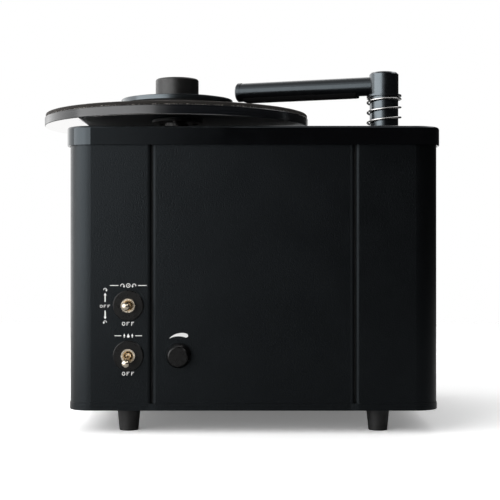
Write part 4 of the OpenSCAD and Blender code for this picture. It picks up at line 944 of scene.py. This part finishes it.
class Print:
    """White ink on the front sheet, built up stroke by stroke round one control."""

    def __init__(self, name, at):
        self.name, self.at = name, at
        self.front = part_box("front_panel")[0].y
        self.points, self.faces = [], []

    def spot(self, x, z, back=False):
        y = self.front + (PRINT_SUNK if back else -PRINT_T)
        self.points.append((self.at[0] + x * MM, y, self.at[1] + z * MM))

    def stroke(self, line, width, closed=False):
        """A line of (x, z) points drawn with one width, or with a width for each point."""
        first, n = len(self.points), len(line)
        widths = width if isinstance(width, list) else [width] * n
        for i, (x, z) in enumerate(line):
            before = Vector(line[i - 1] if closed or i > 0 else line[0])
            after = Vector(line[(i + 1) % n] if closed or i < n - 1 else line[-1])
            here = Vector((x, z))
            a, b = (here - before).normalized(), (after - here).normalized()
            if (here - before).length < NO_LENGTH:
                a = b
            if (after - here).length < NO_LENGTH:
                b = a
            along = (a + b).normalized()
            half = widths[i] / 2 / max(along.dot(a), MITRE_LIMIT)
            out = Vector((-along.y, along.x)) * half
            self.spot(x + out.x, z + out.y)
            self.spot(x - out.x, z - out.y)
            self.spot(x - out.x, z - out.y, back=True)
            self.spot(x + out.x, z + out.y, back=True)
        self.faces.extend(tuple(first + p for p in face) for face in rings_to_faces(n, 4, closed))

    def plate(self, outline):
        """A filled shape from its (x, z) outline."""
        first, n = len(self.points), len(outline)
        for x, z in outline:
            self.spot(x, z)
            self.spot(x, z, back=True)
        self.faces.append(tuple(first + 2 * i for i in range(n)))
        self.faces.append(tuple(first + 2 * i + 1 for i in reversed(range(n))))
        for i in range(n):
            here, there = first + 2 * i, first + 2 * ((i + 1) % n)
            self.faces.append((here, here + 1, there + 1, there))

    def arc(self, x, z, r, start, end, width, steps=20):
        turn = [math.radians(start + (end - start) * i / steps) for i in range(steps + 1)]
        self.stroke([(x + r * math.cos(a), z + r * math.sin(a)) for a in turn], width)

    def ring(self, x, z, r, width, steps=28):
        turn = [math.tau * i / steps for i in range(steps)]
        self.stroke([(x + r * math.cos(a), z + r * math.sin(a)) for a in turn], width, closed=True)

    def dot(self, x, z, r, steps=16):
        turn = [math.tau * i / steps for i in range(steps)]
        self.plate([(x + r * math.cos(a), z + r * math.sin(a)) for a in turn])

    def turn_arrow(self, x, z, r, hand, width=0.55):
        """An open ring with an arrowhead: hand 1 goes clockwise, hand -1 the other way."""
        start, end = (200, -10) if hand > 0 else (-20, 190)
        self.arc(x, z, r, start, end, width)
        tip = math.radians(end)
        tip_x, tip_z = x + r * math.cos(tip), z + r * math.sin(tip)
        back = tip_z + TURN_HEAD_BACK
        self.plate([(tip_x - TURN_HEAD_HALF, back), (tip_x + TURN_HEAD_HALF, back),
                    (tip_x, tip_z - TURN_HEAD_LONG)])

    def arrow(self, x, start, end, width=1.0, head=1.25):
        way = 1 if end > start else -1
        neck = end - way * ARROW_HEAD_LONG
        self.stroke([(x, start), (x, neck)], width)
        self.plate([(x - head, neck), (x + head, neck), (x, end)])

    def off(self, x, z, width, height, stroke=0.5):
        """The word OFF in plain strokes, centred on x, z."""
        gap = LETTER_GAP * height
        letter = (width - 2 * gap) / 3
        w, h = letter / 2 - stroke / 2, height / 2 - stroke / 2
        step = letter + gap
        bend = LETTER_BEND * min(w, h)
        corners = [(w - bend, h - bend, 90), (-w + bend, h - bend, 180), (-w + bend, -h + bend, 270),
                   (w - bend, -h + bend, 360)]
        loop = []
        for corner_x, corner_z, last in corners:
            for i in range(5):
                a = math.radians(last - 90 + 22.5 * i)
                loop.append((x - step + corner_x + bend * math.cos(a), z + corner_z + bend * math.sin(a)))
        self.stroke(loop, stroke, closed=True)
        for middle in (x, x + step):
            stem = middle - w
            self.stroke([(middle + w, z + h), (stem, z + h), (stem, z - h - stroke / 2)], stroke)
            self.stroke([(stem, z), (middle + w * 0.1, z)], stroke * 0.9)

    def done(self):
        piece(self.name, self.points, self.faces, INK, "case", smooth=False)


INK = printed_white()
TITLE_RISE = 17.1
TITLE_LINE = 0.6
OFF_DROP = 15.5
OFF_SIZE = (10.6, 3.1)
SCALE_LEFT = 19.7
SCALE_OFF_SIZE = (8.8, 2.4)


def print_turntable():
    at = centre_of("turntable_toggle")
    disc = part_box("switch_discs")
    p = Print("print_turntable", (at.x, disc[1].z - size_of("switch_discs").x / 2))
    z = TITLE_RISE
    p.ring(0, z, r=1.6, width=0.55)
    p.dot(0, z, r=0.45)
    for side in (-1, 1):
        p.turn_arrow(side * 5.0, z - 0.2, r=1.45, hand=-side)
        p.stroke([(side * 8.4, z), (side * 15.6, z)], TITLE_LINE)
    p.off(0, -OFF_DROP, *OFF_SIZE)
    p.off(-SCALE_LEFT, -0.6, *SCALE_OFF_SIZE, stroke=0.42)
    p.arrow(-SCALE_LEFT, start=3.2, end=10.9)
    p.arrow(-SCALE_LEFT, start=-4.2, end=-11.7)
    p.turn_arrow(-SCALE_LEFT, 13.6, r=1.15, hand=1, width=0.5)
    p.turn_arrow(-SCALE_LEFT, -14.1, r=1.15, hand=-1, width=0.5)
    p.done()


def print_vacuum():
    at = centre_of("vacuum_toggle")
    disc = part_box("switch_discs")
    p = Print("print_vacuum", (at.x, disc[0].z + size_of("switch_discs").x / 2))
    z = TITLE_RISE
    drop_r, drop_tip, drop_z = 1.15, 1.9, z - 0.55
    turn = [math.radians(a) for a in range(-230, 51, 20)]
    p.plate([(drop_r * math.cos(a), drop_z + drop_r * math.sin(a)) for a in turn] + [(0, z + drop_tip)])
    for side in (-1, 1):
        p.arrow(side * 3.4, start=z - 1.7, end=z + 1.9, width=0.6, head=0.95)
        p.stroke([(side * 6.0, z), (side * 11.7, z)], TITLE_LINE)
    p.off(0, -OFF_DROP + 0.3, *OFF_SIZE)
    p.done()


LEVEL_INNER = 16.4
LEVEL_ARC = (117.5, 64)
LEVEL_WIDTH = (0.25, 3.3)
LEVEL_STEPS = 30
LEVEL_GROWTH = 1.3
LEVEL_CURVE = 0.8
LEVEL_ROUND_FROM = 0.9
LEVEL_BLUNT = 0.03


def print_level():
    """A wedge over the knob that grows thicker to the right, with a round end."""
    at = centre_of("level_knob")
    p = Print("print_level", (at.x, at.z))
    line, widths = [], []
    for i in range(LEVEL_STEPS + 1):
        t = i / LEVEL_STEPS
        a = math.radians(LEVEL_ARC[0] + (LEVEL_ARC[1] - LEVEL_ARC[0]) * t)
        grown = min(1, t * LEVEL_GROWTH) ** LEVEL_CURVE
        full = LEVEL_WIDTH[0] + (LEVEL_WIDTH[1] - LEVEL_WIDTH[0]) * grown
        last = max(0.0, (t - LEVEL_ROUND_FROM) / (1 - LEVEL_ROUND_FROM))
        r = LEVEL_INNER + full / 2
        line.append((r * math.cos(a), r * math.sin(a)))
        widths.append(full * math.sqrt(max(LEVEL_BLUNT, 1 - last * last)))
    p.stroke(line, widths)
    p.done()


make_spring()
make_mat()
make_strips()
print_turntable()
print_vacuum()
print_level()
